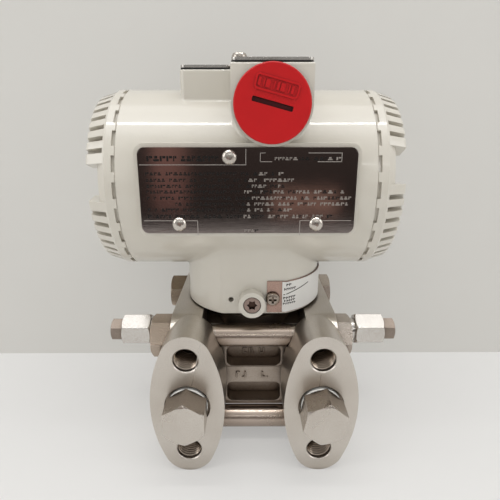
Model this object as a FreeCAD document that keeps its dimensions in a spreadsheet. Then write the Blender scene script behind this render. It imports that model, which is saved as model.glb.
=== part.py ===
# Differential pressure transmitter with two flanges round a sensor capsule and a turning two-ended housing.
# Origin: centre of the four tapped manifold holes on the process face. +X right, +Y back, +Z up. Millimetres.
import FreeCAD, Part
import math
import os
import Sketcher

doc = FreeCAD.newDocument("PressureTransmitter")
sheet = doc.addObject("Spreadsheet::Sheet", "Sizes")

sizes = {
    # interface of the two process flanges
    "port_pitch": 54.0,
    "hole_pitch": 41.3,
    "hole_radius": 4.95,
    "hole_depth": 15.0,
    "hole_chamfer": 0.45,
    "process_reach": 48.0,
    "oval_end_radius": 10.35,
    "oval_half_width": 15.0,
    "oval_depth": 20.0,
    "port_recess_depth": 2.0,
    "port_thread_radius": 5.7,
    "port_thread_depth": 14.0,
    "channel_radius": 2.6,
    "cross_channel_radius": 2.2,
    # flange plates and their bolts
    "capsule_half_width": 22.0,
    "flange_thickness": 13.0,
    "bolt_back": 26.0,
    "bolt_radius": 5.0,
    "bolt_clearance": 0.35,
    "bolt_head_flats": 16.0,
    "bolt_head_height": 6.6,
    "nut_height": 8.8,
    "bolt_end_inset": 0.5,
    "spot_face_gap": 0.4,
    "hex_bevel": 1.2,
    "hex_bevel_length": 0.7,
    "chamber_radius": 16.0,
    "chamber_depth": 1.6,
    # sensor body between the flanges
    "sensor_radius": 24.4,
    "sensor_bolt_gap": 0.25,
    "sensor_boss_gap": 2.0,
    "sensor_boss_top": 26.0,
    "pocket_half_width": 14.2,
    "pocket_depth": 8.0,
    "pocket_lip": 0.9,
    "pocket_round": 3.0,
    "band_half_height": 3.9,
    "diaphragm_radius": 15.6,
    "diaphragm_sheet": 0.3,
    "diaphragm_wave": 0.8,
    "gasket_radius": 18.6,
    "gasket_width": 1.8,
    "gasket_depth": 1.5,
    # neck of the sensor inside the neck of the housing
    "sensor_neck_radius": 17.0,
    "sensor_neck_bore": 6.0,
    "sensor_neck_entry": 2.15,
    "neck_running_gap": 0.06,
    "neck_seal_rise": 8.4,
    "neck_seal_width": 2.4,
    "neck_seal_depth": 1.8,
    # process plugs with hexagon heads
    "plug_flats": 15.9,
    "plug_reach": 12.0,
    "plug_neck_radius": 7.0,
    "plug_recess_gap": 0.12,
    "tape_thickness": 1.1,
    "tape_length": 2.6,
    "left_plug_turn": 30.0,
    "right_plug_turn": 20.0,
    # vent valves on the outer faces of the flanges
    "vent_rise": 10.4,
    "vent_neck_radius": 5.5,
    "vent_neck_length": 15.4,
    "vent_flats": 14.0,
    "vent_hex_length": 13.9,
    "vent_thread_length": 8.0,
    "vent_bore": 3.0,
    "vent_hole": 1.2,
    "vent_outlet": 1.1,
    "stem_gap": 0.05,
    "stem_flats": 10.0,
    "stem_hex_length": 5.6,
    "stem_shoulder_gap": 0.3,
    "ball_gap": 0.4,
    "vent_hex_turn": 30.0,
    # housing: barrel, neck, conduit block, wing and label pad
    "barrel_seat": 47.85,
    "barrel_radius": 37.75,
    "left_seam": 51.3,
    "right_seam": 45.5,
    "neck_bottom": 31.6,
    "neck_radius": 30.5,
    "neck_flat": 27.4,
    "conduit_x": 6.0,
    "conduit_gap": 0.2,
    "conduit_half_width": 14.4,
    "conduit_reach": 2.25,
    "conduit_bore": 9.2,
    "head_rise": 13.6,
    "wing_left": 28.7,
    "wing_half_depth": 19.3,
    "wing_round": 2.0,
    "pad_margin": 1.4,
    "pad_rise": 0.45,
    "pad_round": 3.6,
    "compartment_wall": 6.25,
    "casting_round": 0.9,
    "casting_fillet": 1.4,
    "cover_thread_wall": 3.65,
    "cover_thread_runout": 2.0,
    "wall_left": 5.0,
    "wall_right": 0.0,
    "wire_hole_x": 10.0,
    "wire_hole_radius": 4.0,
    "lock_x": -0.8,
    "lock_rise": 5.6,
    "lock_boss_radius": 5.6,
    "lock_boss_reach": 5.0,
    "lock_thread_radius": 2.6,
    "lock_head_radius": 3.6,
    "lock_head_depth": 1.4,
    "lock_head_gap": 0.1,
    "lock_head_sink": 0.25,
    "lock_star_tip": 2.23,
    "lock_star_valley": 1.51,
    "lock_recess_depth": 1.4,
    "drain_x": -9.7,
    "drain_rise": 6.3,
    "drain_radius": 1.15,
    "drain_depth": 4.0,
    # screwed covers with a ribbed crown
    "cover_seam_gap": 0.1,
    "cover_running_gap": 0.08,
    "cover_skirt_length": 11.0,
    "cover_skirt_wall": 2.6,
    "cover_band": 4.5,
    "cover_base": 7.3,
    "cover_base_taper": 2.75,
    "cover_base_wall": 4.0,
    "cover_edge": 0.4,
    "crown_height": 11.6,
    "crown_taper": 2.35,
    "crown_tip_bevel": 0.8,
    "crown_width": 10.75,
    "crown_sectors": 4,
    "crown_sector_angle": 67.5,
    "rib_grooves": 8,
    "rib_pitch_angle": 7.5,
    "rib_groove_width": 1.9,
    "rib_groove_depth": 4.75,
    "left_cover_turn": 49.2,
    "right_cover_turn": 30.3,
    "slot_count": 24,
    "slot_width": 6.2,
    "slot_length": 1.4,
    "slot_depth": 1.3,
    "seal_width": 2.2,
    "seal_depth": 1.6,
    "seal_from_seam": 1.4,
    # plates, labels and small fasteners of the housing
    "plate_left": 42.3,
    "plate_right": 37.3,
    "plate_half_height": 15.8,
    "plate_thickness": 0.8,
    "plate_round": 2.6,
    "rivet_inset": 3.5,
    "rivet_high_left": 9.15,
    "rivet_low_left": 28.15,
    "rivet_low_right": 23.05,
    "rivet_radius": 2.7,
    "rivet_height": 1.5,
    "rivet_shank": 1.4,
    "rivet_length": 3.0,
    "top_gasket": 0.5,
    "top_plate": 1.0,
    "top_plate_inset": 0.3,
    "top_screw_inset": 3.0,
    "top_screw_edge": 7.0,
    "top_screw_radius": 2.7,
    "top_screw_height": 2.2,
    "top_screw_shank": 1.4,
    "top_screw_length": 3.2,
    "conduit_plug_radius": 13.5,
    "conduit_plug_head": 2.1,
    "conduit_plug_length": 13.0,
    "conduit_plug_gap": 0.05,
    "conduit_plug_wall": 1.8,
    "conduit_plug_bevel": 0.4,
    "conduit_plug_web": 0.6,
    "plug_slot_length": 14.6,
    "plug_slot_width": 1.8,
    "plug_slot_depth": 1.2,
    "plug_slot_tilt": -15.0,
    "plug_frame_rise": 5.9,
    "plug_frame_length": 15.6,
    "plug_frame_width": 5.4,
    "plug_frame_line": 0.7,
    "plug_frame_height": 0.4,
    "ground_gap": 0.2,
    "ground_rise": 7.0,
    "ground_radius": 2.9,
    "ground_height": 1.9,
    "ground_thread": 1.9,
    "ground_length": 5.0,
    "ground_cross_reach": 1.6,
    "ground_cross_half": 0.46,
    "ground_cross_depth": 1.1,
    "tag_lock_gap": 0.7,
    "tag_rise": 0.6,
    "tag_drop": 0.15,
    "tag_gap": 0.05,
    "tag_thickness": 0.5,
    "tag_back": 14.0,
    "label_gap": 1.1,
    "label_inset": 0.3,
    "label_thickness": 0.2,
    # pieces inside the two compartments
    "module_gap": 2.5,
    "module_length": 24.0,
    "module_step_inset": 9.0,
    "module_step": 4.0,
    "terminal_gap": 2.0,
    "terminal_length": 9.0,
    "terminal_recess": 3.0,
    "terminal_pitch": 11.0,
    "recess_half_length": 18.7,
    "recess_half_width": 6.6,
    "recess_round": 1.6,
    "screw_radius": 2.8,
    "screw_height": 1.8,
    "screw_slot": 0.8,
    "module_screw_inset": 4.5,
}


class Size:
    # a size as a spreadsheet expression together with its present value
    def __init__(self, text, value):
        self.text = text
        self.value = value

    def __add__(self, other):
        return join(self, "+", other)

    def __radd__(self, other):
        return join(other, "+", self)

    def __sub__(self, other):
        return join(self, "-", other)

    def __rsub__(self, other):
        return join(other, "-", self)

    def __mul__(self, other):
        return join(self, "*", other)

    def __rmul__(self, other):
        return join(other, "*", self)

    def __truediv__(self, other):
        return join(self, "/", other)

    def __neg__(self):
        return join(0, "-", self)


def asSize(item):
    if isinstance(item, Size):
        return item
    return Size("(%.6f)" % item, float(item))


def join(left, sign, right):
    left = asSize(left)
    right = asSize(right)
    results = {
        "+": left.value + right.value,
        "-": left.value - right.value,
        "*": left.value * right.value,
    }
    value = left.value / right.value if sign == "/" else results[sign]
    return Size("(" + left.text + " " + sign + " " + right.text + ")", value)


def cosine(angle):
    angle = asSize(angle)
    return Size("cos(" + angle.text + " * 1 deg)", math.cos(math.radians(angle.value)))


def sine(angle):
    angle = asSize(angle)
    return Size("sin(" + angle.text + " * 1 deg)", math.sin(math.radians(angle.value)))


class Sheet:
    pass


s = Sheet()


def fillSheet():
    row = 1
    for name, value in sizes.items():
        sheet.set("A%d" % row, name)
        sheet.set("B%d" % row, str(value))
        sheet.setAlias("B%d" % row, name)
        setattr(s, name, Size("Sizes." + name, float(value)))
        row += 1
    doc.recompute()


fillSheet()

# places that several pieces share
holeRise = s.hole_pitch / 2
halfHeight = holeRise + s.oval_end_radius
portX = s.port_pitch / 2
flangeOuter = s.capsule_half_width + s.flange_thickness
neckBore = s.sensor_neck_radius + s.neck_running_gap
barrelZ = s.barrel_seat + s.barrel_radius
conduitZ = barrelZ + s.plate_half_height + s.conduit_gap + s.conduit_half_width
headTop = conduitZ + s.head_rise
conduitHalf = s.barrel_radius + s.conduit_reach
padFront = s.barrel_radius + s.pad_rise
roomRadius = s.barrel_radius - s.compartment_wall
threadRadius = s.barrel_radius - s.cover_thread_wall
lockZ = s.neck_bottom + s.lock_rise
groundX = s.lock_x + s.lock_boss_radius + s.ground_radius + s.ground_gap
groundZ = s.neck_bottom + s.ground_rise

# how far a cut runs past the face that it opens, and how close two places count as one
over = 1
near = 0.01

# outlines of a domed and of a flat-topped screw head, as shares of height and radius
domeSteps = ((1, 0), (1, 0.35), (0.8, 0.7), (0.4, 0.95), (0, 1))
panSteps = ((1, 0), (1, 0.6), (0.88, 0.85), (0.5, 1), (0, 1))


def newBody(label, x=0, y=0, z=0, turned=0):
    body = doc.addObject("PartDesign::Body", label)
    body.Label = label
    body.AllowCompound = True
    body.Placement = FreeCAD.Placement(FreeCAD.Vector(), FreeCAD.Rotation(FreeCAD.Vector(0, 0, 1), turned))
    for axis, amount in zip("xyz", (x, y, z)):
        body.setExpression("Placement.Base." + axis, asSize(amount).text)
    return body


def newSketch(body, role, offset=0, turn=0, up=0, across=0):
    sketch = body.newObject("Sketcher::SketchObject", body.Label + "_outline")
    planes = [item for item in body.Origin.OriginFeatures if item.Role == role]
    sketch.AttachmentSupport = [(planes[0], "")]
    sketch.MapMode = "FlatFace"
    axis = FreeCAD.Vector(0, 0, 1)
    sketch.AttachmentOffset = FreeCAD.Placement(FreeCAD.Vector(), FreeCAD.Rotation(axis, asSize(turn).value))
    sketch.setExpression("AttachmentOffset.Base.x", asSize(across).text)
    sketch.setExpression("AttachmentOffset.Base.y", asSize(up).text)
    sketch.setExpression("AttachmentOffset.Base.z", asSize(offset).text)
    if isinstance(turn, Size):
        sketch.setExpression("AttachmentOffset.Rotation.Angle", turn.text)
    return sketch


def tie(sketch, kind, args, amount):
    amount = asSize(amount)
    index = sketch.addConstraint(Sketcher.Constraint(kind, *args, amount.value))
    sketch.setExpression("Constraints[%d]" % index, amount.text)


def pin(sketch, geometry, position, x, y):
    if asSize(x).value == 0 and not isinstance(x, Size):
        sketch.addConstraint(Sketcher.Constraint("PointOnObject", geometry, position, -2))
    else:
        tie(sketch, "DistanceX", (-1, 1, geometry, position), x)
    if asSize(y).value == 0 and not isinstance(y, Size):
        sketch.addConstraint(Sketcher.Constraint("PointOnObject", geometry, position, -1))
    else:
        tie(sketch, "DistanceY", (-1, 1, geometry, position), y)


def vector(x, y):
    return FreeCAD.Vector(asSize(x).value, asSize(y).value, 0)


def addOutline(sketch, corners):
    first = sketch.GeometryCount
    count = len(corners)
    for index in range(count):
        start = vector(*corners[index])
        end = vector(*corners[(index + 1) % count])
        sketch.addGeometry(Part.LineSegment(start, end))
    for index in range(count):
        following = first + (index + 1) % count
        sketch.addConstraint(Sketcher.Constraint("Coincident", first + index, 2, following, 1))
    for index in range(count):
        pin(sketch, first + index, 1, *corners[index])
    return sketch


def addBox(sketch, left, low, right, high):
    return addOutline(sketch, [(left, low), (right, low), (right, high), (left, high)])


def addCircle(sketch, x, y, radius):
    index = sketch.addGeometry(Part.Circle(vector(x, y), FreeCAD.Vector(0, 0, 1), asSize(radius).value))
    pin(sketch, index, 3, x, y)
    tie(sketch, "Radius", (index,), radius)
    return sketch


def arcOf(x, y, radius, start, end):
    circle = Part.Circle(vector(x, y), FreeCAD.Vector(0, 0, 1), asSize(radius).value)
    return Part.ArcOfCircle(circle, math.radians(start), math.radians(end))


def addRoundBox(sketch, left, low, right, high, radius):
    # four lines and four quarter arcs, from the low left corner anticlockwise
    lines = [
        ((left + radius, low), (right - radius, low)),
        ((right, low + radius), (right, high - radius)),
        ((right - radius, high), (left + radius, high)),
        ((left, high - radius), (left, low + radius)),
    ]
    centres = [
        (right - radius, low + radius, 270),
        (right - radius, high - radius, 0),
        (left + radius, high - radius, 90),
        (left + radius, low + radius, 180),
    ]
    first = sketch.GeometryCount
    for index in range(4):
        sketch.addGeometry(Part.LineSegment(vector(*lines[index][0]), vector(*lines[index][1])))
        x, y, start = centres[index]
        sketch.addGeometry(arcOf(x, y, radius, start, start + 90))
    for index in range(4):
        line = first + 2 * index
        arc = line + 1
        following = first + (2 * index + 2) % 8
        pin(sketch, line, 1, *lines[index][0])
        pin(sketch, line, 2, *lines[index][1])
        sketch.addConstraint(Sketcher.Constraint("Coincident", line, 2, arc, 1))
        sketch.addConstraint(Sketcher.Constraint("Coincident", arc, 2, following, 1))
        tie(sketch, "Radius", (arc,), radius)
    return sketch


def addFlatRound(sketch, radius, flat):
    # a circle with one flat at the front and one at the back
    height = asSize(flat).value
    half = math.sqrt(asSize(radius).value ** 2 - height ** 2)
    angle = math.degrees(math.asin(height / asSize(radius).value))
    first = sketch.addGeometry(Part.LineSegment(vector(-half, -height), vector(half, -height)))
    sketch.addGeometry(arcOf(0, 0, radius, -angle, angle))
    sketch.addGeometry(Part.LineSegment(vector(half, height), vector(-half, height)))
    sketch.addGeometry(arcOf(0, 0, radius, 180 - angle, 180 + angle))
    for index in range(4):
        following = first + (index + 1) % 4
        sketch.addConstraint(Sketcher.Constraint("Coincident", first + index, 2, following, 1))
    for arc in (first + 1, first + 3):
        sketch.addConstraint(Sketcher.Constraint("Coincident", arc, 3, -1, 1))
        tie(sketch, "Radius", (arc,), radius)
    for line, sign in ((first, -1), (first + 2, 1)):
        tie(sketch, "DistanceY", (-1, 1, line, 1), sign * asSize(flat))
        tie(sketch, "DistanceY", (-1, 1, line, 2), sign * asSize(flat))
    return sketch


def addOval(sketch, x, halfWidth, halfPitch, endRadius):
    # two end arcs joined by two long side arcs that touch them
    sideRadius = (halfWidth * halfWidth + halfPitch * halfPitch - endRadius * endRadius) / (
        2 * (halfWidth - endRadius))
    shift = sideRadius.value - halfWidth.value
    lean = math.degrees(math.atan2(halfPitch.value, shift))
    first = sketch.addGeometry(arcOf(x - shift, 0, sideRadius, -lean, lean))
    sketch.addGeometry(arcOf(x, halfPitch, endRadius, lean, 180 - lean))
    sketch.addGeometry(arcOf(x + shift, 0, sideRadius, 180 - lean, 180 + lean))
    sketch.addGeometry(arcOf(x, -halfPitch, endRadius, 180 + lean, 360 - lean))
    for index in range(4):
        following = first + (index + 1) % 4
        sketch.addConstraint(Sketcher.Constraint("Tangent", first + index, 2, following, 1))
    pin(sketch, first + 1, 3, x, halfPitch)
    pin(sketch, first + 3, 3, x, -halfPitch)
    for index, radius in ((0, sideRadius), (1, endRadius), (2, sideRadius), (3, endRadius)):
        tie(sketch, "Radius", (first + index,), radius)
    return sketch


def addHexagon(sketch, x, y, flats, turn=0):
    radius = flats / math.sqrt(3)
    corners = []
    for index in range(6):
        angle = asSize(turn) + 60 * index
        corners.append((x + radius * cosine(angle), y + radius * sine(angle)))
    return addOutline(sketch, corners)


def feature(body, kind, sketch):
    item = body.newObject("PartDesign::" + kind, body.Label + "_" + kind.lower())
    item.Profile = sketch
    body.Tip = item
    return item


def pad(body, sketch, length, back=False):
    item = feature(body, "Pad", sketch)
    item.setExpression("Length", asSize(length).text)
    item.Reversed = back
    return item


def pocket(body, sketch, length, back=False):
    item = feature(body, "Pocket", sketch)
    item.setExpression("Length", asSize(length).text)
    item.Reversed = back
    return item


def turn(body, sketch, axis, cut=False):
    item = feature(body, "Groove" if cut else "Revolution", sketch)
    item.ReferenceAxis = (sketch, [axis])
    item.Angle = 360
    return item


def around(body, original, axisRole, count):
    # repeats a feature evenly round one of the body's own axes
    item = body.newObject("PartDesign::PolarPattern", body.Label + "_pattern")
    item.Originals = [original]
    axes = [entry for entry in body.Origin.OriginFeatures if entry.Role == axisRole]
    item.Axis = (axes[0], [""])
    item.Angle = 360
    item.Occurrences = int(count.value)
    item.setExpression("Occurrences", count.text)
    body.Tip = item
    return item


def roundEdges(body, test, radius, kind="Fillet"):
    # rounds or bevels the edges of the body's last feature whose centre passes the test
    doc.recompute()
    base = body.Tip
    names = []
    for index, edge in enumerate(base.Shape.Edges, 1):
        if test(edge):
            names.append("Edge%d" % index)
    item = body.newObject("PartDesign::" + kind, body.Label + "_" + kind.lower())
    item.Base = (base, names)
    item.setExpression("Radius" if kind == "Fillet" else "Size", asSize(radius).text)
    body.Tip = item
    return item


def group(label, bodies):
    item = doc.addObject("Part::Compound", label)
    item.Label = label
    item.Links = bodies
    return item


parts = []


def keep(item):
    parts.append(item)
    return item


def atCapsule(label, turned=0, x=0, z=0):
    # pieces placed from the capsule's axis, which lies behind the process face
    return newBody(label, x, s.process_reach, z, turned)


def makeFlange(label, side):
    body = atCapsule(label)
    # plate with rounded corners round the four bolts
    plate = newSketch(body, "YZ_Plane", side * s.capsule_half_width)
    reach = s.bolt_back + s.oval_end_radius
    addRoundBox(plate, -reach, -halfHeight, reach, halfHeight, s.oval_end_radius)
    pad(body, plate, s.flange_thickness, side < 0)
    # oval boss with the process connection
    oval = newSketch(body, "XZ_Plane", s.process_reach - s.oval_depth)
    addOval(oval, side * portX, s.oval_half_width, holeRise, s.oval_end_radius)
    pad(body, oval, s.oval_depth)
    # holes of the long bolts
    bolts = newSketch(body, "YZ_Plane", side * (flangeOuter + s.oval_half_width))
    for back in (-1, 1):
        for rise in (-1, 1):
            addCircle(bolts, back * s.bolt_back, rise * holeRise, s.bolt_radius + s.bolt_clearance)
    pocket(body, bolts, flangeOuter + s.oval_half_width, side < 0)
    # room for the heads and nuts of the front bolts, cut into the back of the oval
    spots = newSketch(body, "YZ_Plane", side * (flangeOuter + s.oval_half_width))
    for rise in (-1, 1):
        addCircle(spots, -s.bolt_back, rise * holeRise, s.bolt_head_flats / math.sqrt(3) + s.spot_face_gap)
    pocket(body, spots, s.oval_half_width, side < 0)
    # tapped holes and the port in the oval face
    drillFace(body, side * portX)
    drillChamber(body, side)
    return keep(body)


def drillFace(body, x):
    face = s.process_reach
    for rise in (-holeRise, holeRise):
        hole = newSketch(body, "YZ_Plane", x, 0, rise)
        wide = s.hole_radius + s.hole_chamfer
        addOutline(hole, [
            (-face - over, 0), (-face - over, wide), (-face, wide), (-face + s.hole_chamfer, s.hole_radius),
            (-face + s.hole_depth, s.hole_radius), (-face + s.hole_depth, 0)])
        turn(body, hole, "H_Axis", True)
    port = newSketch(body, "YZ_Plane", x)
    recess = s.plug_flats / math.sqrt(3) + s.plug_recess_gap
    floor = -face + s.port_recess_depth
    addOutline(port, [
        (-face - over, 0), (-face - over, recess), (floor, recess), (floor, s.port_thread_radius),
        (-face + s.port_thread_depth, s.port_thread_radius), (-face + s.port_thread_depth, s.channel_radius),
        (s.channel_radius, s.channel_radius), (s.channel_radius, 0)])
    turn(body, port, "H_Axis", True)


def drillChamber(body, side):
    inner = s.capsule_half_width
    chamber = newSketch(body, "XZ_Plane")
    cross = s.cross_channel_radius
    addOutline(chamber, [
        (side * (inner - over), 0), (side * (inner - over), s.chamber_radius),
        (side * (inner + s.chamber_depth), s.chamber_radius), (side * (inner + s.chamber_depth), cross),
        (side * portX, cross), (side * portX, 0)])
    turn(body, chamber, "H_Axis", True)
    vent = newSketch(body, "XZ_Plane", 0, 0, s.vent_rise)
    seat = flangeOuter - s.vent_thread_length
    addOutline(vent, [
        (side * (inner - over), 0), (side * (inner - over), s.channel_radius),
        (side * seat, s.channel_radius),
        (side * seat, s.port_thread_radius), (side * (flangeOuter + over), s.port_thread_radius),
        (side * (flangeOuter + over), 0)])
    turn(body, vent, "H_Axis", True)


def makeGasket(label, side):
    body = atCapsule(label)
    ring = newSketch(body, "XZ_Plane")
    outer = side * s.capsule_half_width
    inner = side * (s.capsule_half_width - s.gasket_depth)
    addBox(ring, inner, s.gasket_radius, outer, s.gasket_radius + s.gasket_width)
    turn(body, ring, "H_Axis")
    return keep(body)


def makeDiaphragm(label, side):
    # thin sheet with three round waves, seated in a shallow pan of the sensor body
    body = atCapsule(label)
    sheetSide = newSketch(body, "XZ_Plane")
    waves = 6
    face = s.capsule_half_width - s.diaphragm_wave - s.diaphragm_sheet
    top = []
    under = []
    for index in range(waves + 1):
        radius = s.diaphragm_radius * (index / waves)
        lift = s.diaphragm_wave * (index % 2)
        top.append((side * (face + lift + s.diaphragm_sheet), radius))
        under.append((side * (face + lift), radius))
    addOutline(sheetSide, top + under[::-1])
    turn(body, sheetSide, "H_Axis")
    return keep(body)


def makeSensorBody():
    body = atCapsule("sensor_body")
    half = s.capsule_half_width
    disc = newSketch(body, "YZ_Plane", -half)
    addCircle(disc, 0, 0, s.sensor_radius)
    pad(body, disc, 2 * half)
    block = newSketch(body, "YZ_Plane", -half)
    high = holeRise - s.bolt_radius - s.sensor_bolt_gap
    addBox(block, -s.sensor_radius, -high, s.sensor_radius, high)
    pad(body, block, 2 * half)
    boss = newSketch(body, "XY_Plane")
    addCircle(boss, 0, 0, s.bolt_back - s.bolt_radius - s.sensor_boss_gap)
    pad(body, boss, s.sensor_boss_top)
    cutPockets(body)
    cutSeats(body)
    return keep(body)


def cutPockets(body):
    # four cast pockets, two at the front and two at the back
    high = holeRise - s.bolt_radius - s.sensor_bolt_gap - s.pocket_lip
    for front in (True, False):
        offset = s.sensor_radius if front else -s.sensor_radius
        pockets = newSketch(body, "XZ_Plane", offset)
        wide = s.pocket_half_width
        addRoundBox(pockets, -wide, s.band_half_height, wide, high, s.pocket_round)
        addRoundBox(pockets, -wide, -high, wide, -s.band_half_height, s.pocket_round)
        pocket(body, pockets, s.pocket_depth, not front)


def cutSeats(body):
    # pan of the diaphragm and groove of the gasket in each end face
    half = s.capsule_half_width
    for side in (-1, 1):
        seat = newSketch(body, "XZ_Plane")
        pan = half - s.diaphragm_wave - s.diaphragm_sheet - s.diaphragm_wave
        addBox(seat, side * pan, 0, side * (half + over), s.diaphragm_radius)
        addBox(seat, side * (half - s.gasket_depth), s.gasket_radius, side * (half + over),
               s.gasket_radius + s.gasket_width)
        turn(body, seat, "H_Axis", True)


def makeSensorNeck():
    body = atCapsule("sensor_neck")
    side = newSketch(body, "XZ_Plane")
    low = s.neck_bottom + s.neck_seal_rise - s.neck_seal_width / 2
    high = low + s.neck_seal_width
    top = s.barrel_seat + s.sensor_neck_entry
    groove = s.sensor_neck_radius - s.neck_seal_depth
    addOutline(side, [
        (s.sensor_neck_bore, s.sensor_boss_top), (s.sensor_neck_radius, s.sensor_boss_top),
        (s.sensor_neck_radius, low), (groove, low), (groove, high), (s.sensor_neck_radius, high),
        (s.sensor_neck_radius, top), (s.sensor_neck_bore, top)])
    turn(body, side, "V_Axis")
    keep(body)
    seal = atCapsule("neck_seal")
    ring = newSketch(seal, "XZ_Plane")
    addBox(ring, groove, low, s.sensor_neck_radius, high)
    turn(seal, ring, "V_Axis")
    return keep(seal)


def bevelHex(body, flats, end, inward, plane="XZ_Plane"):
    # takes the sharp corners off one end of a hexagon
    ring = newSketch(body, plane)
    corner = flats / math.sqrt(3)
    start = end + inward * s.hex_bevel_length
    addOutline(ring, [
        (end, corner - s.hex_bevel), (end, corner + over), (start, corner + over), (start, corner)])
    turn(body, ring, "H_Axis", True)


def makeBolt(index, back, rise):
    # shank with its hexagon head on the right flange
    body = newBody("bolt_%d" % index, 0, s.process_reach + back * s.bolt_back, rise * holeRise)
    start = flangeOuter + s.nut_height + s.bolt_end_inset
    shank = newSketch(body, "YZ_Plane", -start)
    addCircle(shank, 0, 0, s.bolt_radius)
    pad(body, shank, start + flangeOuter)
    head = newSketch(body, "YZ_Plane", flangeOuter)
    addHexagon(head, 0, 0, s.bolt_head_flats, 11 * index)
    pad(body, head, s.bolt_head_height)
    bevelHex(body, s.bolt_head_flats, flangeOuter + s.bolt_head_height, -1)
    return body


def makeNut(index, back, rise):
    body = newBody("nut_%d" % index, -flangeOuter, s.process_reach + back * s.bolt_back, rise * holeRise)
    ring = newSketch(body, "YZ_Plane")
    addHexagon(ring, 0, 0, s.bolt_head_flats, 17 * index)
    addCircle(ring, 0, 0, s.bolt_radius)
    pad(body, ring, s.nut_height, True)
    bevelHex(body, s.bolt_head_flats, -s.nut_height, 1)
    return body


def makeFasteners():
    places = [(-1, 1), (-1, -1), (1, 1), (1, -1)]
    bolts = [makeBolt(index, *place) for index, place in enumerate(places)]
    nuts = [makeNut(index, *place) for index, place in enumerate(places)]
    keep(group("flange_bolts", bolts))
    keep(group("flange_nuts", nuts))


def makeProcessPlug(name, side, turned):
    # hexagon plug in the port, with a wrap of sealing tape on its thread
    body = newBody(name + "_process_plug", side * portX)
    shank = newSketch(body, "YZ_Plane")
    seat = s.port_recess_depth
    addOutline(shank, [
        (-seat, 0), (-seat, s.plug_neck_radius), (seat, s.plug_neck_radius), (seat, s.port_thread_radius),
        (s.port_thread_depth - over, s.port_thread_radius), (s.port_thread_depth - over, 0)])
    turn(body, shank, "H_Axis")
    head = newSketch(body, "XZ_Plane", seat / 2)
    addHexagon(head, 0, 0, s.plug_flats, turned)
    pad(body, head, s.plug_reach - seat / 2)
    bevelHex(body, s.plug_flats, -s.plug_reach, 1, "YZ_Plane")
    keep(body)
    tape = newBody(name + "_plug_tape", side * portX)
    ring = newSketch(tape, "YZ_Plane")
    low = s.port_recess_depth - s.tape_length
    addBox(ring, low, s.plug_neck_radius, s.port_recess_depth, s.plug_neck_radius + s.tape_thickness)
    turn(tape, ring, "H_Axis")
    return keep(tape)


def makeVent(name, side):
    # body screwed into the flange, its turning stem and the ball that the stem presses on its seat
    body = atCapsule(name + "_vent_body", 0, 0, s.vent_rise)
    root = flangeOuter - s.vent_thread_length
    neckEnd = flangeOuter + s.vent_neck_length
    end = neckEnd + s.vent_hex_length
    seat = root + 2 * s.vent_bore
    shank = newSketch(body, "XZ_Plane")
    addOutline(shank, [
        (side * root, 0), (side * root, s.port_thread_radius), (side * flangeOuter, s.port_thread_radius),
        (side * flangeOuter, s.vent_neck_radius), (side * (neckEnd + over), s.vent_neck_radius),
        (side * (neckEnd + over), 0)])
    turn(body, shank, "H_Axis")
    nut = newSketch(body, "YZ_Plane", side * neckEnd)
    addHexagon(nut, 0, 0, s.vent_flats, s.vent_hex_turn)
    pad(body, nut, s.vent_hex_length, side < 0)
    bevelHex(body, s.vent_flats, side * end, -side)
    bevelHex(body, s.vent_flats, side * neckEnd, side)
    bore = newSketch(body, "XZ_Plane")
    cone = seat - s.vent_bore + s.vent_hole
    addOutline(bore, [
        (side * (root - over), 0), (side * (root - over), s.vent_hole), (side * cone, s.vent_hole),
        (side * seat, s.vent_bore), (side * (end + over), s.vent_bore), (side * (end + over), 0)])
    turn(body, bore, "H_Axis", True)
    outlet = newSketch(body, "XY_Plane")
    addCircle(outlet, side * (neckEnd + s.vent_hex_length / 3), 0, s.vent_outlet)
    pocket(body, outlet, s.vent_flats)
    keep(body)
    makeStem(name, side, seat, end)


def makeStem(name, side, seat, end):
    ball = atCapsule(name + "_vent_ball", 0, 0, s.vent_rise)
    # the ball rests on the cone of the seat, which rises at forty five degrees
    radius = s.vent_bore - s.ball_gap
    reach = seat - s.vent_bore + (radius + s.stem_gap) * math.sqrt(2)
    half = newSketch(ball, "XZ_Plane", 0, 0, 0, side * reach)
    arc = half.addGeometry(arcOf(0, 0, radius, 0, 180))
    line = half.addGeometry(Part.LineSegment(vector(-radius, 0), vector(radius, 0)))
    half.addConstraint(Sketcher.Constraint("Coincident", arc, 3, -1, 1))
    half.addConstraint(Sketcher.Constraint("Coincident", arc, 2, line, 1))
    half.addConstraint(Sketcher.Constraint("Coincident", line, 2, arc, 1))
    half.addConstraint(Sketcher.Constraint("PointOnObject", line, 1, -1))
    half.addConstraint(Sketcher.Constraint("PointOnObject", line, 2, -1))
    tie(half, "Radius", (arc,), radius)
    turn(ball, half, "H_Axis")
    keep(ball)
    stem = atCapsule(name + "_vent_stem", 0, 0, s.vent_rise)
    start = reach + radius + s.stem_gap
    shoulder = end + s.stem_shoulder_gap
    rod = newSketch(stem, "XZ_Plane")
    addBox(rod, side * start, 0, side * (shoulder + over), s.vent_bore - s.stem_gap)
    turn(stem, rod, "H_Axis")
    head = newSketch(stem, "YZ_Plane", side * shoulder)
    addHexagon(head, 0, 0, s.stem_flats, s.vent_hex_turn)
    pad(stem, head, s.stem_hex_length, side < 0)
    bevelHex(stem, s.stem_flats, side * (shoulder + s.stem_hex_length), -side)
    return keep(stem)


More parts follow.
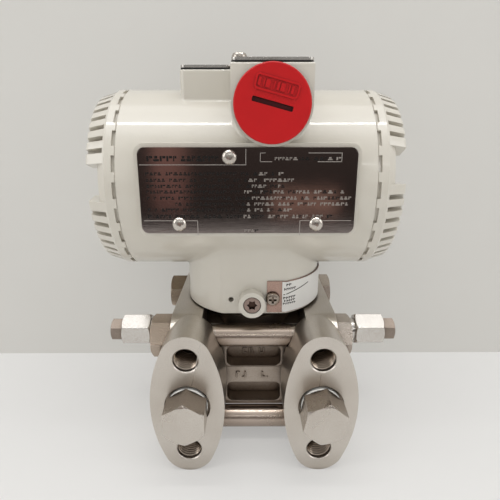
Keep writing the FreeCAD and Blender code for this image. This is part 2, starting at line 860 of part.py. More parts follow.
def makeHousing():
    body = atCapsule("housing")
    barrel = newSketch(body, "YZ_Plane", -s.left_seam)
    addCircle(barrel, 0, barrelZ, s.barrel_radius)
    pad(body, barrel, s.left_seam + s.right_seam)
    neck = newSketch(body, "XY_Plane", s.neck_bottom)
    addFlatRound(neck, s.neck_radius, s.neck_flat)
    pad(body, neck, barrelZ - s.neck_bottom)
    addConduit(body)
    wing = newSketch(body, "XY_Plane", barrelZ)
    addRoundBox(wing, -s.wing_left, -s.wing_half_depth, s.conduit_x, s.wing_half_depth, s.wing_round)
    pad(body, wing, headTop - barrelZ)
    roundHousing(body)
    label = newSketch(body, "XZ_Plane")
    high = s.plate_half_height + s.pad_margin
    addRoundBox(label, -s.plate_left - s.pad_margin, barrelZ - high, s.plate_right + s.pad_margin,
                barrelZ + high, s.pad_round)
    pad(body, label, padFront)
    boss = newSketch(body, "XZ_Plane", s.neck_flat - over)
    addCircle(boss, s.lock_x, lockZ, s.lock_boss_radius)
    pad(body, boss, s.lock_boss_reach + over)
    hollowHousing(body)
    drillHousing(body)
    return keep(body)


def roundHousing(body):
    # cast roots where neck, wing and conduit block leave the barrel, and rounded tops
    def onBarrel(edge):
        ends = [math.hypot(vertex.Y, vertex.Z - barrelZ.value) for vertex in edge.Vertexes]
        low = edge.BoundBox.ZMin
        box = edge.BoundBox
        inside = box.XMax < s.right_seam.value - over and box.XMin > over - s.left_seam.value
        apart = low > conduitZ.value - s.conduit_half_width.value - over or box.ZMax < barrelZ.value
        return inside and apart and all(abs(end - s.barrel_radius.value) < near for end in ends)

    def onTop(edge):
        return edge.BoundBox.ZMin > headTop.value - near

    roundEdges(body, onBarrel, s.casting_fillet)
    roundEdges(body, onTop, s.casting_round)


def addConduit(body):
    # block that carries both conduit entries, round below and square above
    block = newSketch(body, "XZ_Plane", -conduitHalf)
    half = s.conduit_half_width
    left = s.conduit_x - half
    right = s.conduit_x + half
    arc = block.addGeometry(arcOf(s.conduit_x, conduitZ, half, 180, 360))
    first = block.addGeometry(Part.LineSegment(vector(right, conduitZ), vector(right, headTop)))
    block.addGeometry(Part.LineSegment(vector(right, headTop), vector(left, headTop)))
    block.addGeometry(Part.LineSegment(vector(left, headTop), vector(left, conduitZ)))
    for index in range(3):
        block.addConstraint(Sketcher.Constraint("Coincident", arc + index, 2, arc + index + 1, 1))
    block.addConstraint(Sketcher.Constraint("Coincident", arc + 3, 2, arc, 1))
    pin(block, first, 1, right, conduitZ)
    pin(block, first, 2, right, headTop)
    pin(block, first + 2, 1, left, headTop)
    pin(block, first + 2, 2, left, conduitZ)
    tie(block, "DistanceY", (-1, 1, arc, 3), conduitZ)
    pad(body, block, 2 * conduitHalf)


def hollowHousing(body):
    # one compartment from each end, with a wider thread seat for the cover
    for side, seam, wall in ((-1, s.left_seam, s.wall_left), (1, s.right_seam, s.wall_right)):
        room = newSketch(body, "XZ_Plane", 0, 0, barrelZ)
        seat = seam - s.cover_skirt_length - s.cover_thread_runout
        addOutline(room, [
            (side * (seam + over), 0), (side * (seam + over), threadRadius),
            (side * seat, threadRadius), (side * seat, roomRadius),
            (side * wall, roomRadius), (side * wall, 0)])
        turn(body, room, "H_Axis", True)


def drillHousing(body):
    conduit = newSketch(body, "XZ_Plane", conduitHalf + over)
    addCircle(conduit, s.conduit_x, conduitZ, s.conduit_bore)
    pocket(body, conduit, 2 * (conduitHalf + over))
    socket = newSketch(body, "XY_Plane", s.neck_bottom - over)
    addCircle(socket, 0, 0, neckBore)
    top = s.barrel_seat + s.sensor_neck_entry + s.neck_running_gap
    pocket(body, socket, top + over - s.neck_bottom, True)
    wires = newSketch(body, "XY_Plane", s.neck_bottom)
    addCircle(wires, -s.wire_hole_x, 0, s.wire_hole_radius)
    pocket(body, wires, barrelZ - s.neck_bottom, True)
    lock = newSketch(body, "XZ_Plane", s.neck_flat + s.lock_boss_reach)
    addCircle(lock, s.lock_x, lockZ, s.lock_thread_radius)
    pocket(body, lock, s.neck_flat + s.lock_boss_reach - s.sensor_neck_radius / 2)
    seat = newSketch(body, "XZ_Plane", s.neck_flat + s.lock_boss_reach)
    addCircle(seat, s.lock_x, lockZ, s.lock_head_radius + s.lock_head_gap)
    pocket(body, seat, s.lock_head_depth)
    small = newSketch(body, "XZ_Plane", s.neck_flat)
    addCircle(small, s.drain_x, s.neck_bottom + s.drain_rise, s.drain_radius)
    pocket(body, small, s.drain_depth)
    ground = newSketch(body, "XZ_Plane", s.neck_flat)
    addCircle(ground, groundX, groundZ, s.ground_thread)
    pocket(body, ground, s.ground_length)
    rivets = newSketch(body, "XZ_Plane", padFront)
    for x, z in rivetPlaces():
        addCircle(rivets, x, z, s.rivet_shank)
    pocket(body, rivets, s.rivet_length)
    tops = newSketch(body, "XY_Plane", headTop)
    for x, y in topScrewPlaces():
        addCircle(tops, x, y, s.top_screw_shank)
    pocket(body, tops, s.top_screw_length)


def rivetPlaces():
    high = barrelZ + s.plate_half_height - s.rivet_inset
    low = barrelZ - s.plate_half_height + s.rivet_inset
    return [(-s.rivet_high_left, high), (-s.rivet_low_left, low), (1 * s.rivet_low_right, low)]


def topScrewPlaces():
    left = s.conduit_x - s.conduit_half_width + s.top_screw_inset
    right = s.conduit_x + s.conduit_half_width - s.top_screw_inset
    deep = conduitHalf - s.top_screw_edge
    return [(left, -deep), (right, deep)]


def makeCover(name, side, seam, turned):
    # built with its outward direction along +X and turned round for the left end
    body = newBody(name + "_cover", side * seam, s.process_reach, barrelZ, 0 if side > 0 else 180)
    shell = newSketch(body, "XZ_Plane")
    gap = s.cover_seam_gap
    outer = threadRadius - s.cover_running_gap
    inner = outer - s.cover_skirt_wall
    rim = s.barrel_radius
    edge = s.cover_edge
    low = -s.seal_from_seam - s.seal_width
    floor = outer - s.seal_depth
    addOutline(shell, [
        (-s.cover_skirt_length, inner), (-s.cover_skirt_length, outer), (low, outer), (low, floor),
        (-s.seal_from_seam, floor), (-s.seal_from_seam, outer), (gap, outer), (gap, rim - edge),
        (gap + edge, rim), (s.cover_band - edge, rim), (s.cover_band, rim - edge),
        (s.cover_base, rim - s.cover_base_taper), (s.cover_base, 0), (s.cover_base - s.cover_base_wall, 0),
        (s.cover_base - s.cover_base_wall, inner)])
    turn(body, shell, "H_Axis")
    addCrown(body, turned)
    cutRibs(body, turned)
    cutSlots(body)
    keep(body)
    seal = newBody(name + "_cover_seal", side * seam, s.process_reach, barrelZ, 0 if side > 0 else 180)
    ring = newSketch(seal, "XZ_Plane")
    addBox(ring, low, floor, -s.seal_from_seam, outer)
    turn(seal, ring, "H_Axis")
    return keep(seal)


def addCrown(body, turned):
    # one sector of the raised crown, then its copies round the axis
    half = s.crown_sector_angle / 2
    sector = newSketch(body, "YZ_Plane", s.cover_band, turned)
    lean = half.value
    radii = (s.barrel_radius - s.crown_width, s.barrel_radius)
    inner = sector.addGeometry(arcOf(0, 0, radii[0], -lean, lean))
    outer = sector.addGeometry(arcOf(0, 0, radii[1], -lean, lean))
    for sign in (-1, 1):
        ends = [vector(radius * cosine(half), sign * radius * sine(half)) for radius in radii]
        line = sector.addGeometry(Part.LineSegment(*ends))
        place = 1 if sign < 0 else 2
        sector.addConstraint(Sketcher.Constraint("Coincident", line, 1, inner, place))
        sector.addConstraint(Sketcher.Constraint("Coincident", line, 2, outer, place))
    for arc, radius in ((inner, radii[0]), (outer, radii[1])):
        sector.addConstraint(Sketcher.Constraint("Coincident", arc, 3, -1, 1))
        tie(sector, "Radius", (arc,), radius)
        tie(sector, "DistanceY", (-1, 1, arc, 1), -radius * sine(half))
        tie(sector, "DistanceY", (-1, 1, arc, 2), radius * sine(half))
    lug = pad(body, sector, s.crown_height - s.cover_band)
    around(body, lug, "X_Axis", s.crown_sectors)
    # the crown narrows towards its tip
    cone = newSketch(body, "XZ_Plane")
    rim = s.barrel_radius
    tip = rim - s.crown_taper
    bevel = s.crown_tip_bevel
    addOutline(cone, [
        (s.cover_band, rim - s.cover_edge), (s.crown_height - bevel, tip),
        (s.crown_height, tip - bevel), (s.crown_height + over, tip - bevel),
        (s.crown_height + over, rim + over), (s.cover_band, rim + over)])
    turn(body, cone, "H_Axis", True)


def cutRibs(body, turned):
    grooves = newSketch(body, "YZ_Plane", s.crown_height + over, turned)
    count = int(s.rib_grooves.value)
    half = s.rib_groove_width / 2
    floor = s.barrel_radius - s.rib_groove_depth
    reach = s.barrel_radius + over
    for index in range(count):
        angle = (index - (count - 1) / 2) * s.rib_pitch_angle
        corners = []
        for radius, sign in ((floor, -1), (reach, -1), (reach, 1), (floor, 1)):
            corners.append((radius * cosine(angle) - sign * half * sine(angle),
                            radius * sine(angle) + sign * half * cosine(angle)))
        addOutline(grooves, corners)
    cut = pocket(body, grooves, s.crown_height + over - s.cover_band - s.cover_edge)
    around(body, cut, "X_Axis", s.crown_sectors)


def cutSlots(body):
    # short slots along the seam, for a strap wrench
    slot = newSketch(body, "YZ_Plane", s.cover_seam_gap - over)
    half = s.slot_width / 2
    addBox(slot, s.barrel_radius - s.slot_depth, -half, s.barrel_radius + over, half)
    cut = pocket(body, slot, s.slot_length + over, True)
    around(body, cut, "X_Axis", s.slot_count)


def makeCertificationPlate():
    body = atCapsule("certification_plate", 0, 0, barrelZ)
    sheetSide = newSketch(body, "XZ_Plane", padFront)
    high = s.plate_half_height
    addRoundBox(sheetSide, -s.plate_left, -high, s.plate_right, high, s.plate_round)
    for x, z in rivetPlaces():
        addCircle(sheetSide, x, z - barrelZ, s.rivet_shank)
    pad(body, sheetSide, s.plate_thickness)
    keep(body)
    rivets = []
    for index, (x, z) in enumerate(rivetPlaces()):
        rivets.append(makeRivet("rivet_%d" % index, x, z))
    keep(group("plate_rivets", rivets))


def makeRivet(label, x, z):
    body = newBody(label, x, s.process_reach - padFront - s.plate_thickness, z)
    deep = s.rivet_length + s.plate_thickness
    turnScrew(body, "YZ_Plane", -s.rivet_height, s.rivet_radius, s.rivet_shank, deep, domeSteps)
    return body


def turnScrew(body, plane, high, wide, shank, deep, steps):
    # head as a turned outline, on a plain shank that runs the other way
    side = newSketch(body, plane)
    head = [(high * share, wide * width) for share, width in steps]
    addOutline(side, head + [(asSize(0), shank), (deep, shank), (deep, 0)])
    turn(body, side, "H_Axis")


def makeTopPlates():
    inset = s.top_plate_inset
    edge = s.conduit_x - s.conduit_half_width
    right = s.conduit_x + s.conduit_half_width - inset
    deep = conduitHalf - inset
    outlines = {
        "identification": (edge + inset, -deep, right, deep, topScrewPlaces()),
        "wing": (inset - s.wing_left, inset - s.wing_half_depth, edge - inset, s.wing_half_depth - inset, []),
    }
    for name, (left, low, farRight, high, holes) in outlines.items():
        for kind, start, thick in (("gasket", headTop, s.top_gasket),
                                   ("plate", headTop + s.top_gasket, s.top_plate)):
            body = atCapsule(name + "_" + kind)
            flat = newSketch(body, "XY_Plane", start)
            addRoundBox(flat, left, low, farRight, high, s.wing_round)
            for x, y in holes:
                addCircle(flat, x, y, s.top_screw_shank)
            pad(body, flat, thick)
            keep(body)
    screws = []
    for index, (x, y) in enumerate(topScrewPlaces()):
        screws.append(makePanScrew("top_screw_%d" % index, x, s.process_reach + y))
    keep(group("identification_screws", screws))


def makePanScrew(label, x, y):
    body = newBody(label, x, y, headTop + s.top_gasket + s.top_plate)
    side = newSketch(body, "XZ_Plane")
    deep = -s.top_gasket - s.top_plate - s.top_screw_length
    head = [(s.top_screw_radius * width, s.top_screw_height * share) for share, width in reversed(panSteps)]
    addOutline(side, [(0, deep), (s.top_screw_shank, deep), (s.top_screw_shank, asSize(0))] + head)
    turn(body, side, "V_Axis")
    slot = newSketch(body, "XY_Plane", s.top_screw_height)
    half = s.screw_slot / 2
    addBox(slot, -s.top_screw_radius - over, -half, s.top_screw_radius + over, half)
    pocket(body, slot, s.top_screw_height / 2)
    return body


def makeConduitPlug(label, turned):
    # cap with a screwdriver slot and a plain raised frame, on a hollow shank
    y = s.process_reach - conduitHalf if turned == 0 else s.process_reach + conduitHalf
    body = newBody(label, s.conduit_x, y, conduitZ, turned)
    side = newSketch(body, "YZ_Plane")
    outer = s.conduit_bore - s.conduit_plug_gap
    inner = outer - s.conduit_plug_wall
    head = s.conduit_plug_head
    bevel = s.conduit_plug_bevel
    addOutline(side, [
        (-head, 0), (-head, s.conduit_plug_radius - bevel), (bevel - head, s.conduit_plug_radius),
        (0, s.conduit_plug_radius), (0, outer), (s.conduit_plug_length, outer),
        (s.conduit_plug_length, inner),
        (s.conduit_plug_web, inner), (s.conduit_plug_web, 0)])
    turn(body, side, "H_Axis")
    slot = newSketch(body, "XZ_Plane", head, s.plug_slot_tilt)
    half = s.plug_slot_width / 2
    addRoundBox(slot, -s.plug_slot_length / 2, -half, s.plug_slot_length / 2, half, half / 2)
    pocket(body, slot, s.plug_slot_depth)
    frame = newSketch(body, "XZ_Plane", head, s.plug_slot_tilt)
    low = s.plug_frame_rise - s.plug_frame_width / 2
    high = s.plug_frame_rise + s.plug_frame_width / 2
    wide = s.plug_frame_length / 2
    line = s.plug_frame_line
    addRoundBox(frame, -wide, low, wide, high, 2 * line)
    addRoundBox(frame, line - wide, low + line, wide - line, high - line, line)
    pad(body, frame, s.plug_frame_height)
    return keep(body)


def makeNeckScrews():
    # lock screw in its boss
    body = newBody("neck_lock_screw", s.lock_x, s.process_reach - s.neck_flat - s.lock_boss_reach, lockZ)
    side = newSketch(body, "YZ_Plane")
    deep = s.lock_boss_reach + s.neck_flat - neckBore - over
    wide = s.lock_head_radius
    under = 1 * s.lock_head_depth
    addOutline(side, [
        (s.lock_head_sink, 0), (s.lock_head_sink, wide - s.lock_head_sink), (2 * s.lock_head_sink, wide),
        (under, wide), (under, s.lock_thread_radius), (deep, s.lock_thread_radius), (deep, 0)])
    turn(body, side, "H_Axis")
    star = newSketch(body, "XZ_Plane")
    addStar(star, s.lock_star_tip, s.lock_star_valley)
    pocket(body, star, s.lock_recess_depth)
    keep(body)
    # ground screw through the tag
    face = s.neck_flat + s.tag_gap + s.tag_thickness
    ground = newBody("ground_screw", groundX, s.process_reach - face, groundZ)
    inner = s.tag_gap + s.tag_thickness + s.ground_length
    turnScrew(ground, "YZ_Plane", -s.ground_height, s.ground_radius, s.ground_thread, inner, panSteps)
    cross = newSketch(ground, "XZ_Plane", s.ground_height)
    addCross(cross, s.ground_cross_reach, s.ground_cross_half)
    pocket(ground, cross, s.ground_cross_depth)
    keep(ground)


def addStar(sketch, tip, valley):
    # six points, from twelve corners that lie on two circles in turn
    corners = []
    for index in range(12):
        radius = valley if index % 2 else tip
        corners.append((radius * cosine(30 * index), radius * sine(30 * index)))
    return addOutline(sketch, corners)


def addCross(sketch, reach, half):
    quarter = [(reach, -half), (reach, half), (half, half)]
    corners = []
    for index in range(4):
        for x, y in quarter:
            turned = [(x, y), (-y, x), (-x, -y), (y, -x)][index]
            corners.append(turned)
    return addOutline(sketch, corners)


def makeTag(label, left, gap, thick, inset):
    # thin sheet bent round the neck, from the front flat to the right side
    body = atCapsule(label)
    low = s.neck_bottom + s.tag_rise + inset
    high = s.barrel_seat - s.casting_fillet - s.tag_drop - inset
    outer = newSketch(body, "XY_Plane", low)
    addFlatRound(outer, s.neck_radius + gap + thick, s.neck_flat + gap + thick)
    pad(body, outer, high - low)
    inner = newSketch(body, "XY_Plane", low)
    addFlatRound(inner, s.neck_radius + gap, s.neck_flat + gap)
    pocket(body, inner, high - low, True)
    away = newSketch(body, "XY_Plane", low)
    wide = s.neck_radius + gap + thick + over
    addOutline(away, [
        (-wide, -wide), (left, -wide), (left, s.tag_back), (wide, s.tag_back), (wide, wide), (-wide, wide)])
    pocket(body, away, high - low, True)
    return body


def makeTags():
    left = s.lock_x + s.lock_boss_radius + s.tag_lock_gap
    band = makeTag("tag_band", left, s.tag_gap, s.tag_thickness, 0)
    hole = newSketch(band, "XZ_Plane", s.neck_flat + s.tag_gap + s.tag_thickness + over)
    addCircle(hole, groundX, groundZ, s.ground_thread)
    pocket(band, hole, s.tag_gap + s.tag_thickness + 2 * over)
    keep(band)
    left = groundX + s.ground_radius + s.label_gap
    keep(makeTag("tag_label", left, s.tag_gap + s.tag_thickness, s.label_thickness, s.label_inset))


def makeModule():
    # potted electronics in the left compartment, held by two screws
    body = newBody("electronics_module", -s.wall_left, s.process_reach, barrelZ)
    side = newSketch(body, "XZ_Plane")
    wide = roomRadius - s.module_gap
    narrow = wide - s.module_step_inset
    long = s.module_length
    step = long + s.module_step
    addOutline(side, [(0, 0), (0, wide), (-long, wide), (-long, narrow), (-step, narrow), (-step, 0)])
    turn(body, side, "H_Axis")
    keep(body)
    offset = wide - s.module_screw_inset
    places = [(-s.wall_left - long, 0, barrelZ + rise * offset) for rise in (-1, 1)]
    makeFaceScrews("module_screws", places, 180)


def makeTerminals():
    # terminal block in the right compartment with three screws in its recess
    body = newBody("terminal_block", s.wall_right, s.process_reach, barrelZ)
    side = newSketch(body, "XZ_Plane")
    long = s.terminal_length
    addBox(side, 0, 0, long, roomRadius - s.terminal_gap)
    turn(body, side, "H_Axis")
    recess = newSketch(body, "YZ_Plane", long)
    wide = s.recess_half_length
    high = s.recess_half_width
    addRoundBox(recess, -wide, -high, wide, high, s.recess_round)
    pocket(body, recess, s.terminal_recess)
    keep(body)
    floor = s.wall_right + long - s.terminal_recess
    places = [(floor, step * s.terminal_pitch, barrelZ) for step in (-1, 0, 1)]
    makeFaceScrews("terminal_screws", places, 0)


def makeFaceScrews(label, places, turned):
    # screw heads on a face that looks along the barrel
    screws = []
    for index, (x, y, z) in enumerate(places):
        body = newBody("%s_%d" % (label, index), x, s.process_reach + y, z, turned)
        side = newSketch(body, "XZ_Plane")
        addOutline(side, [(0, 0)] + [
            (s.screw_height * share, s.screw_radius * width) for share, width in reversed(panSteps)])
        turn(body, side, "H_Axis")
        slot = newSketch(body, "YZ_Plane", s.screw_height)
        half = s.screw_slot / 2
        addBox(slot, -half, -s.screw_radius - over, half, s.screw_radius + over)
        pocket(body, slot, s.screw_height / 2)
        screws.append(body)
    keep(group(label, screws))


def makeAll():
    for name, side in (("left", -1), ("right", 1)):
        makeFlange(name + "_flange", side)
        makeGasket(name + "_flange_gasket", side)
        makeDiaphragm(name + "_diaphragm", side)
        makeVent(name, side)
    makeSensorBody()
    makeSensorNeck()
    makeFasteners()
    makeProcessPlug("left", -1, s.left_plug_turn)
    makeProcessPlug("right", 1, s.right_plug_turn)
    makeHousing()
    makeCover("left", -1, s.left_seam, s.left_cover_turn)
    makeCover("right", 1, s.right_seam, s.right_cover_turn)
    makeCertificationPlate()
    makeTopPlates()
    makeConduitPlug("front_conduit_plug", 0)
    makeConduitPlug("rear_conduit_plug", 180)
    makeNeckScrews()
    makeTags()
    makeModule()
    makeTerminals()


def checkAll():
    doc.recompute()
    faults = []
    for item in doc.Objects:
        if "Invalid" in item.State or "Error" in item.State:
            faults.append(item.Label + " failed")
        elif item.TypeId in ("PartDesign::Pocket", "PartDesign::Groove"):
            if item.Shape.Volume > item.BaseFeature.Shape.Volume - 0.01:
                faults.append(item.Label + " cuts nothing")
    for item in parts:
        if item.Shape.isNull() or not item.Shape.isValid():
            faults.append(item.Label + " has no valid shape")
    if faults:
        raise RuntimeError("; ".join(faults))


def writeAll():
    os.makedirs("parts", exist_ok=True)
    for item in parts:
        item.Shape.exportStep("parts/" + item.Label + ".step")
        print(item.Label, len(item.Shape.Solids), round(item.Shape.Volume, 1))


makeAll()
checkAll()
writeAll()
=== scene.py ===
import bpy
import math
import random
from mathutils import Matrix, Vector


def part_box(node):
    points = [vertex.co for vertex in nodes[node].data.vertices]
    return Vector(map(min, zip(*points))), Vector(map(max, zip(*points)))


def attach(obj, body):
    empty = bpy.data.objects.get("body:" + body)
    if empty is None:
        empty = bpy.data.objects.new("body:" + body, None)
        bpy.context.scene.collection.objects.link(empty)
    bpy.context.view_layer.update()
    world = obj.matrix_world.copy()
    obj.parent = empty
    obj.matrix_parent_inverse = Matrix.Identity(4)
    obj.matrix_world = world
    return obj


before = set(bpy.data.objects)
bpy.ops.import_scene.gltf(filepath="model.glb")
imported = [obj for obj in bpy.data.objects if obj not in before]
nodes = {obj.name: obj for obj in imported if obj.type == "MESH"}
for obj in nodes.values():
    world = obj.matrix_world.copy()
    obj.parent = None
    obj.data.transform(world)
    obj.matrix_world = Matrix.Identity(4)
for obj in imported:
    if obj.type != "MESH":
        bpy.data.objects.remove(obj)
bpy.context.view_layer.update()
print("frame loaded", len(nodes), "nodes")

mm = 0.001
random.seed(41)

# the point on the neck axis at the height of the capsule, in metres
capsuleY = 48.0 * mm


# helpers for nodes and meshes are kept short and plain


def srgb(red, green, blue):
    # colour written as 0-255 values, turned into linear light
    out = []
    for value in (red, green, blue):
        part = value / 255.0
        out.append(part / 12.92 if part <= 0.04045 else ((part + 0.055) / 1.055) ** 2.4)
    return (out[0], out[1], out[2], 1.0)


def newMaterial(name):
    material = bpy.data.materials.new(name)
    material.use_nodes = True
    tree = material.node_tree
    shader = tree.nodes["Principled BSDF"]
    return material, tree, shader


def addNode(tree, kind, settings=None, **inputs):
    node = tree.nodes.new(kind)
    for key, value in (settings or {}).items():
        setattr(node, key, value)
    for key, value in inputs.items():
        node.inputs[key.replace("_", " ")].default_value = value
    return node


def objectPoint(tree):
    return addNode(tree, "ShaderNodeTexCoord").outputs["Object"]


def noise(tree, point, scale, detail=3.0, roughness=0.5, stretch=None):
    if stretch:
        mapping = addNode(tree, "ShaderNodeMapping")
        mapping.inputs["Scale"].default_value = stretch
        tree.links.new(point, mapping.inputs["Vector"])
        point = mapping.outputs["Vector"]
    node = addNode(tree, "ShaderNodeTexNoise", Scale=scale, Detail=detail, Roughness=roughness)
    tree.links.new(point, node.inputs["Vector"])
    return node.outputs["Fac"]


def ramp(tree, value, stops, ease="LINEAR"):
    node = addNode(tree, "ShaderNodeValToRGB")
    band = node.color_ramp
    band.interpolation = ease
    while len(band.elements) < len(stops):
        band.elements.new(0.5)
    for element, (place, colour) in zip(band.elements, stops):
        element.position = place
        element.color = colour
    tree.links.new(value, node.inputs["Fac"])
    return node.outputs["Color"]


def spread(tree, value, low, high):
    node = addNode(tree, "ShaderNodeMapRange")
    node.inputs["To Min"].default_value = low
    node.inputs["To Max"].default_value = high
    tree.links.new(value, node.inputs["Value"])
    return node.outputs["Result"]


def mixColour(tree, factor, first, second, blend="MIX"):
    node = addNode(tree, "ShaderNodeMix", {"data_type": "RGBA", "blend_type": blend})
    for socket, value in ((node.inputs[0], factor), (node.inputs[6], first), (node.inputs[7], second)):
        if isinstance(value, (float, tuple)):
            socket.default_value = value
        else:
            tree.links.new(value, socket)
    return node.outputs[2]


def level(tree, kind, first, second=None, third=None):
    # one step of arithmetic on numbers or sockets
    node = addNode(tree, "ShaderNodeMath", {"operation": kind})
    for socket, value in zip(node.inputs, (first, second, third)):
        if isinstance(value, (int, float)):
            socket.default_value = value
        elif value is not None:
            tree.links.new(value, socket)
    return node.outputs["Value"]


def axes(tree, point):
    node = addNode(tree, "ShaderNodeSeparateXYZ")
    tree.links.new(point, node.inputs["Vector"])
    return node.outputs["X"], node.outputs["Y"], node.outputs["Z"]


def within(tree, value, low, high, soft=0.0002):
    # one between two levels, falling to nothing over a short way
    rise = level(tree, "MULTIPLY_ADD", value, 1 / soft, -low / soft)
    fall = level(tree, "MULTIPLY_ADD", value, -1 / soft, high / soft)
    node = addNode(tree, "ShaderNodeMath", {"operation": "MINIMUM", "use_clamp": True})
    tree.links.new(rise, node.inputs[0])
    tree.links.new(fall, node.inputs[1])
    return node.outputs["Value"]


def nearbyShade(tree, reach, low, high, colour):
    # painted shade: a darker colour where other surfaces stand within reach, fading to white in the open
    node = addNode(tree, "ShaderNodeAmbientOcclusion", {"samples": 6, "only_local": False}, Distance=reach)
    return ramp(tree, node.outputs["AO"], [(low, colour), (high, (1, 1, 1, 1))])


def bump(tree, shader, height, strength, distance):
    node = addNode(tree, "ShaderNodeBump", Strength=strength, Distance=distance)
    tree.links.new(height, node.inputs["Height"])
    tree.links.new(node.outputs["Normal"], shader.inputs["Normal"])
    return node


# camera

cameraValues = {
    "place": (-2.47 * mm, -148.97 * mm, 109.45 * mm),
    "pitchDown": 16.33,
    "turnRight": 0.28,
    "lens": 31.03,
}


def makeCamera(values):
    data = bpy.data.cameras.new("sceneCamera")
    data.sensor_width = 36.0
    data.lens = values["lens"]
    data.clip_start = 0.005
    camera = bpy.data.objects.new("sceneCamera", data)
    bpy.context.scene.collection.objects.link(camera)
    camera.location = values["place"]
    camera.rotation_euler = (math.radians(90 - values["pitchDown"]), 0, -math.radians(values["turnRight"]))
    bpy.context.scene.camera = camera


makeCamera(cameraValues)
bpy.context.scene.view_settings.view_transform = "Standard"
print("camera placed")

# floor, wall and lights

stageValues = {
    "floorLevel": -31.0 * mm,
    "wallPlace": 97.0 * mm,
    "floorColour": srgb(228, 227, 225),
    "wallColour": srgb(214, 212, 207),
    "width": 3.0,
    "wallHeight": 0.34,
    "evenShare": 0.5,
    "evenLevel": 0.92,
}


def makeSheet(name, corners, material):
    mesh = bpy.data.meshes.new(name)
    mesh.from_pydata(corners, [], [(0, 1, 2, 3)])
    sheet = bpy.data.objects.new(name, mesh)
    bpy.context.scene.collection.objects.link(sheet)
    sheet.data.materials.append(material)
    return sheet


def makeStageMaterial(name, colour, roughness):
    # the camera and polished metal see it partly as an even tone, which keeps the shadow pale
    material, tree, shader = newMaterial(name)
    point = objectPoint(tree)
    grain = noise(tree, point, 35.0, 2.0)
    darker = tuple(channel * 0.97 for channel in colour[:3]) + (1.0,)
    tree.links.new(mixColour(tree, grain, colour, darker), shader.inputs["Base Color"])
    shader.inputs["Roughness"].default_value = roughness
    shader.inputs["Specular IOR Level"].default_value = 0.3
    ray = addNode(tree, "ShaderNodeLightPath")
    seen = level(tree, "ADD", ray.outputs["Is Camera Ray"], ray.outputs["Is Glossy Ray"])
    seen = level(tree, "ADD", seen, ray.outputs["Is Transmission Ray"])
    glow = addNode(tree, "ShaderNodeEmission", Color=colour, Strength=stageValues["evenLevel"])
    mixer = addNode(tree, "ShaderNodeMixShader")
    tree.links.new(level(tree, "MULTIPLY", seen, stageValues["evenShare"]), mixer.inputs[0])
    tree.links.new(shader.outputs["BSDF"], mixer.inputs[1])
    tree.links.new(glow.outputs["Emission"], mixer.inputs[2])
    tree.links.new(mixer.outputs["Shader"], tree.nodes["Material Output"].inputs["Surface"])
    return material, mixer


def openFromBehind(material, surface):
    # the wall lets a camera behind it look through
    tree = material.node_tree
    end = tree.nodes["Material Output"]
    clear = addNode(tree, "ShaderNodeBsdfTransparent")
    side = addNode(tree, "ShaderNodeNewGeometry").outputs["Backfacing"]
    mixer = addNode(tree, "ShaderNodeMixShader")
    tree.links.new(side, mixer.inputs[0])
    tree.links.new(surface.outputs["Shader"], mixer.inputs[1])
    tree.links.new(clear.outputs["BSDF"], mixer.inputs[2])
    tree.links.new(mixer.outputs["Shader"], end.inputs["Surface"])


def makeStage(values):
    half = values["width"] / 2
    low = values["floorLevel"]
    wall = values["wallPlace"]
    floor, _ = makeStageMaterial("floorFinish", values["floorColour"], 0.45)
    corners = [(-half, -half, low), (half, -half, low), (half, half, low), (-half, half, low)]
    makeSheet("floor", corners, floor)
    back, surface = makeStageMaterial("wallFinish", values["wallColour"], 0.9)
    openFromBehind(back, surface)
    top = low + values["wallHeight"]
    corners = [(-half, wall, low), (half, wall, low), (half, wall, top), (-half, wall, top)]
    makeSheet("backWall", corners, back)


makeStage(stageValues)

# dark and tinted boards in front that only show in polished surfaces
boardValues = {
    "darkBoard": {
        "left": -230, "right": 230, "low": -31, "high": 104, "far": -420,
        "top": (88, 78, 74), "foot": (62, 54, 51)},
    "tintBoard": {
        "left": -126, "right": -84, "low": 0, "high": 110, "far": -400,
        "top": (200, 156, 144), "foot": (168, 124, 116)},
    "warmBoard": {
        "left": 30, "right": 118, "low": -10, "high": 24, "far": -405,
        "top": (206, 168, 152), "foot": (196, 156, 142)},
}


def makeBoard(name, values):
    material, tree, shader = newMaterial(name)
    point = objectPoint(tree)
    height = addNode(tree, "ShaderNodeSeparateXYZ")
    tree.links.new(point, height.inputs["Vector"])
    share = addNode(tree, "ShaderNodeMapRange")
    share.inputs["From Min"].default_value = values["low"] * mm
    share.inputs["From Max"].default_value = values["high"] * mm
    tree.links.new(height.outputs["Z"], share.inputs["Value"])
    tone = mixColour(tree, share.outputs["Result"], srgb(*values["foot"]), srgb(*values["top"]))
    shader.inputs["Base Color"].default_value = (0, 0, 0, 1)
    shader.inputs["Roughness"].default_value = 1.0
    tree.links.new(tone, shader.inputs["Emission Color"])
    shader.inputs["Emission Strength"].default_value = 1.0
    left, right, low, high, far = (values[key] * mm for key in ("left", "right", "low", "high", "far"))
    corners = [(left, far, low), (right, far, low), (right, far, high), (left, far, high)]
    board = makeSheet(name, corners, material)
    board.visible_camera = False
    board.visible_diffuse = False
    board.visible_shadow = False


for name, values in boardValues.items():
    makeBoard(name, values)

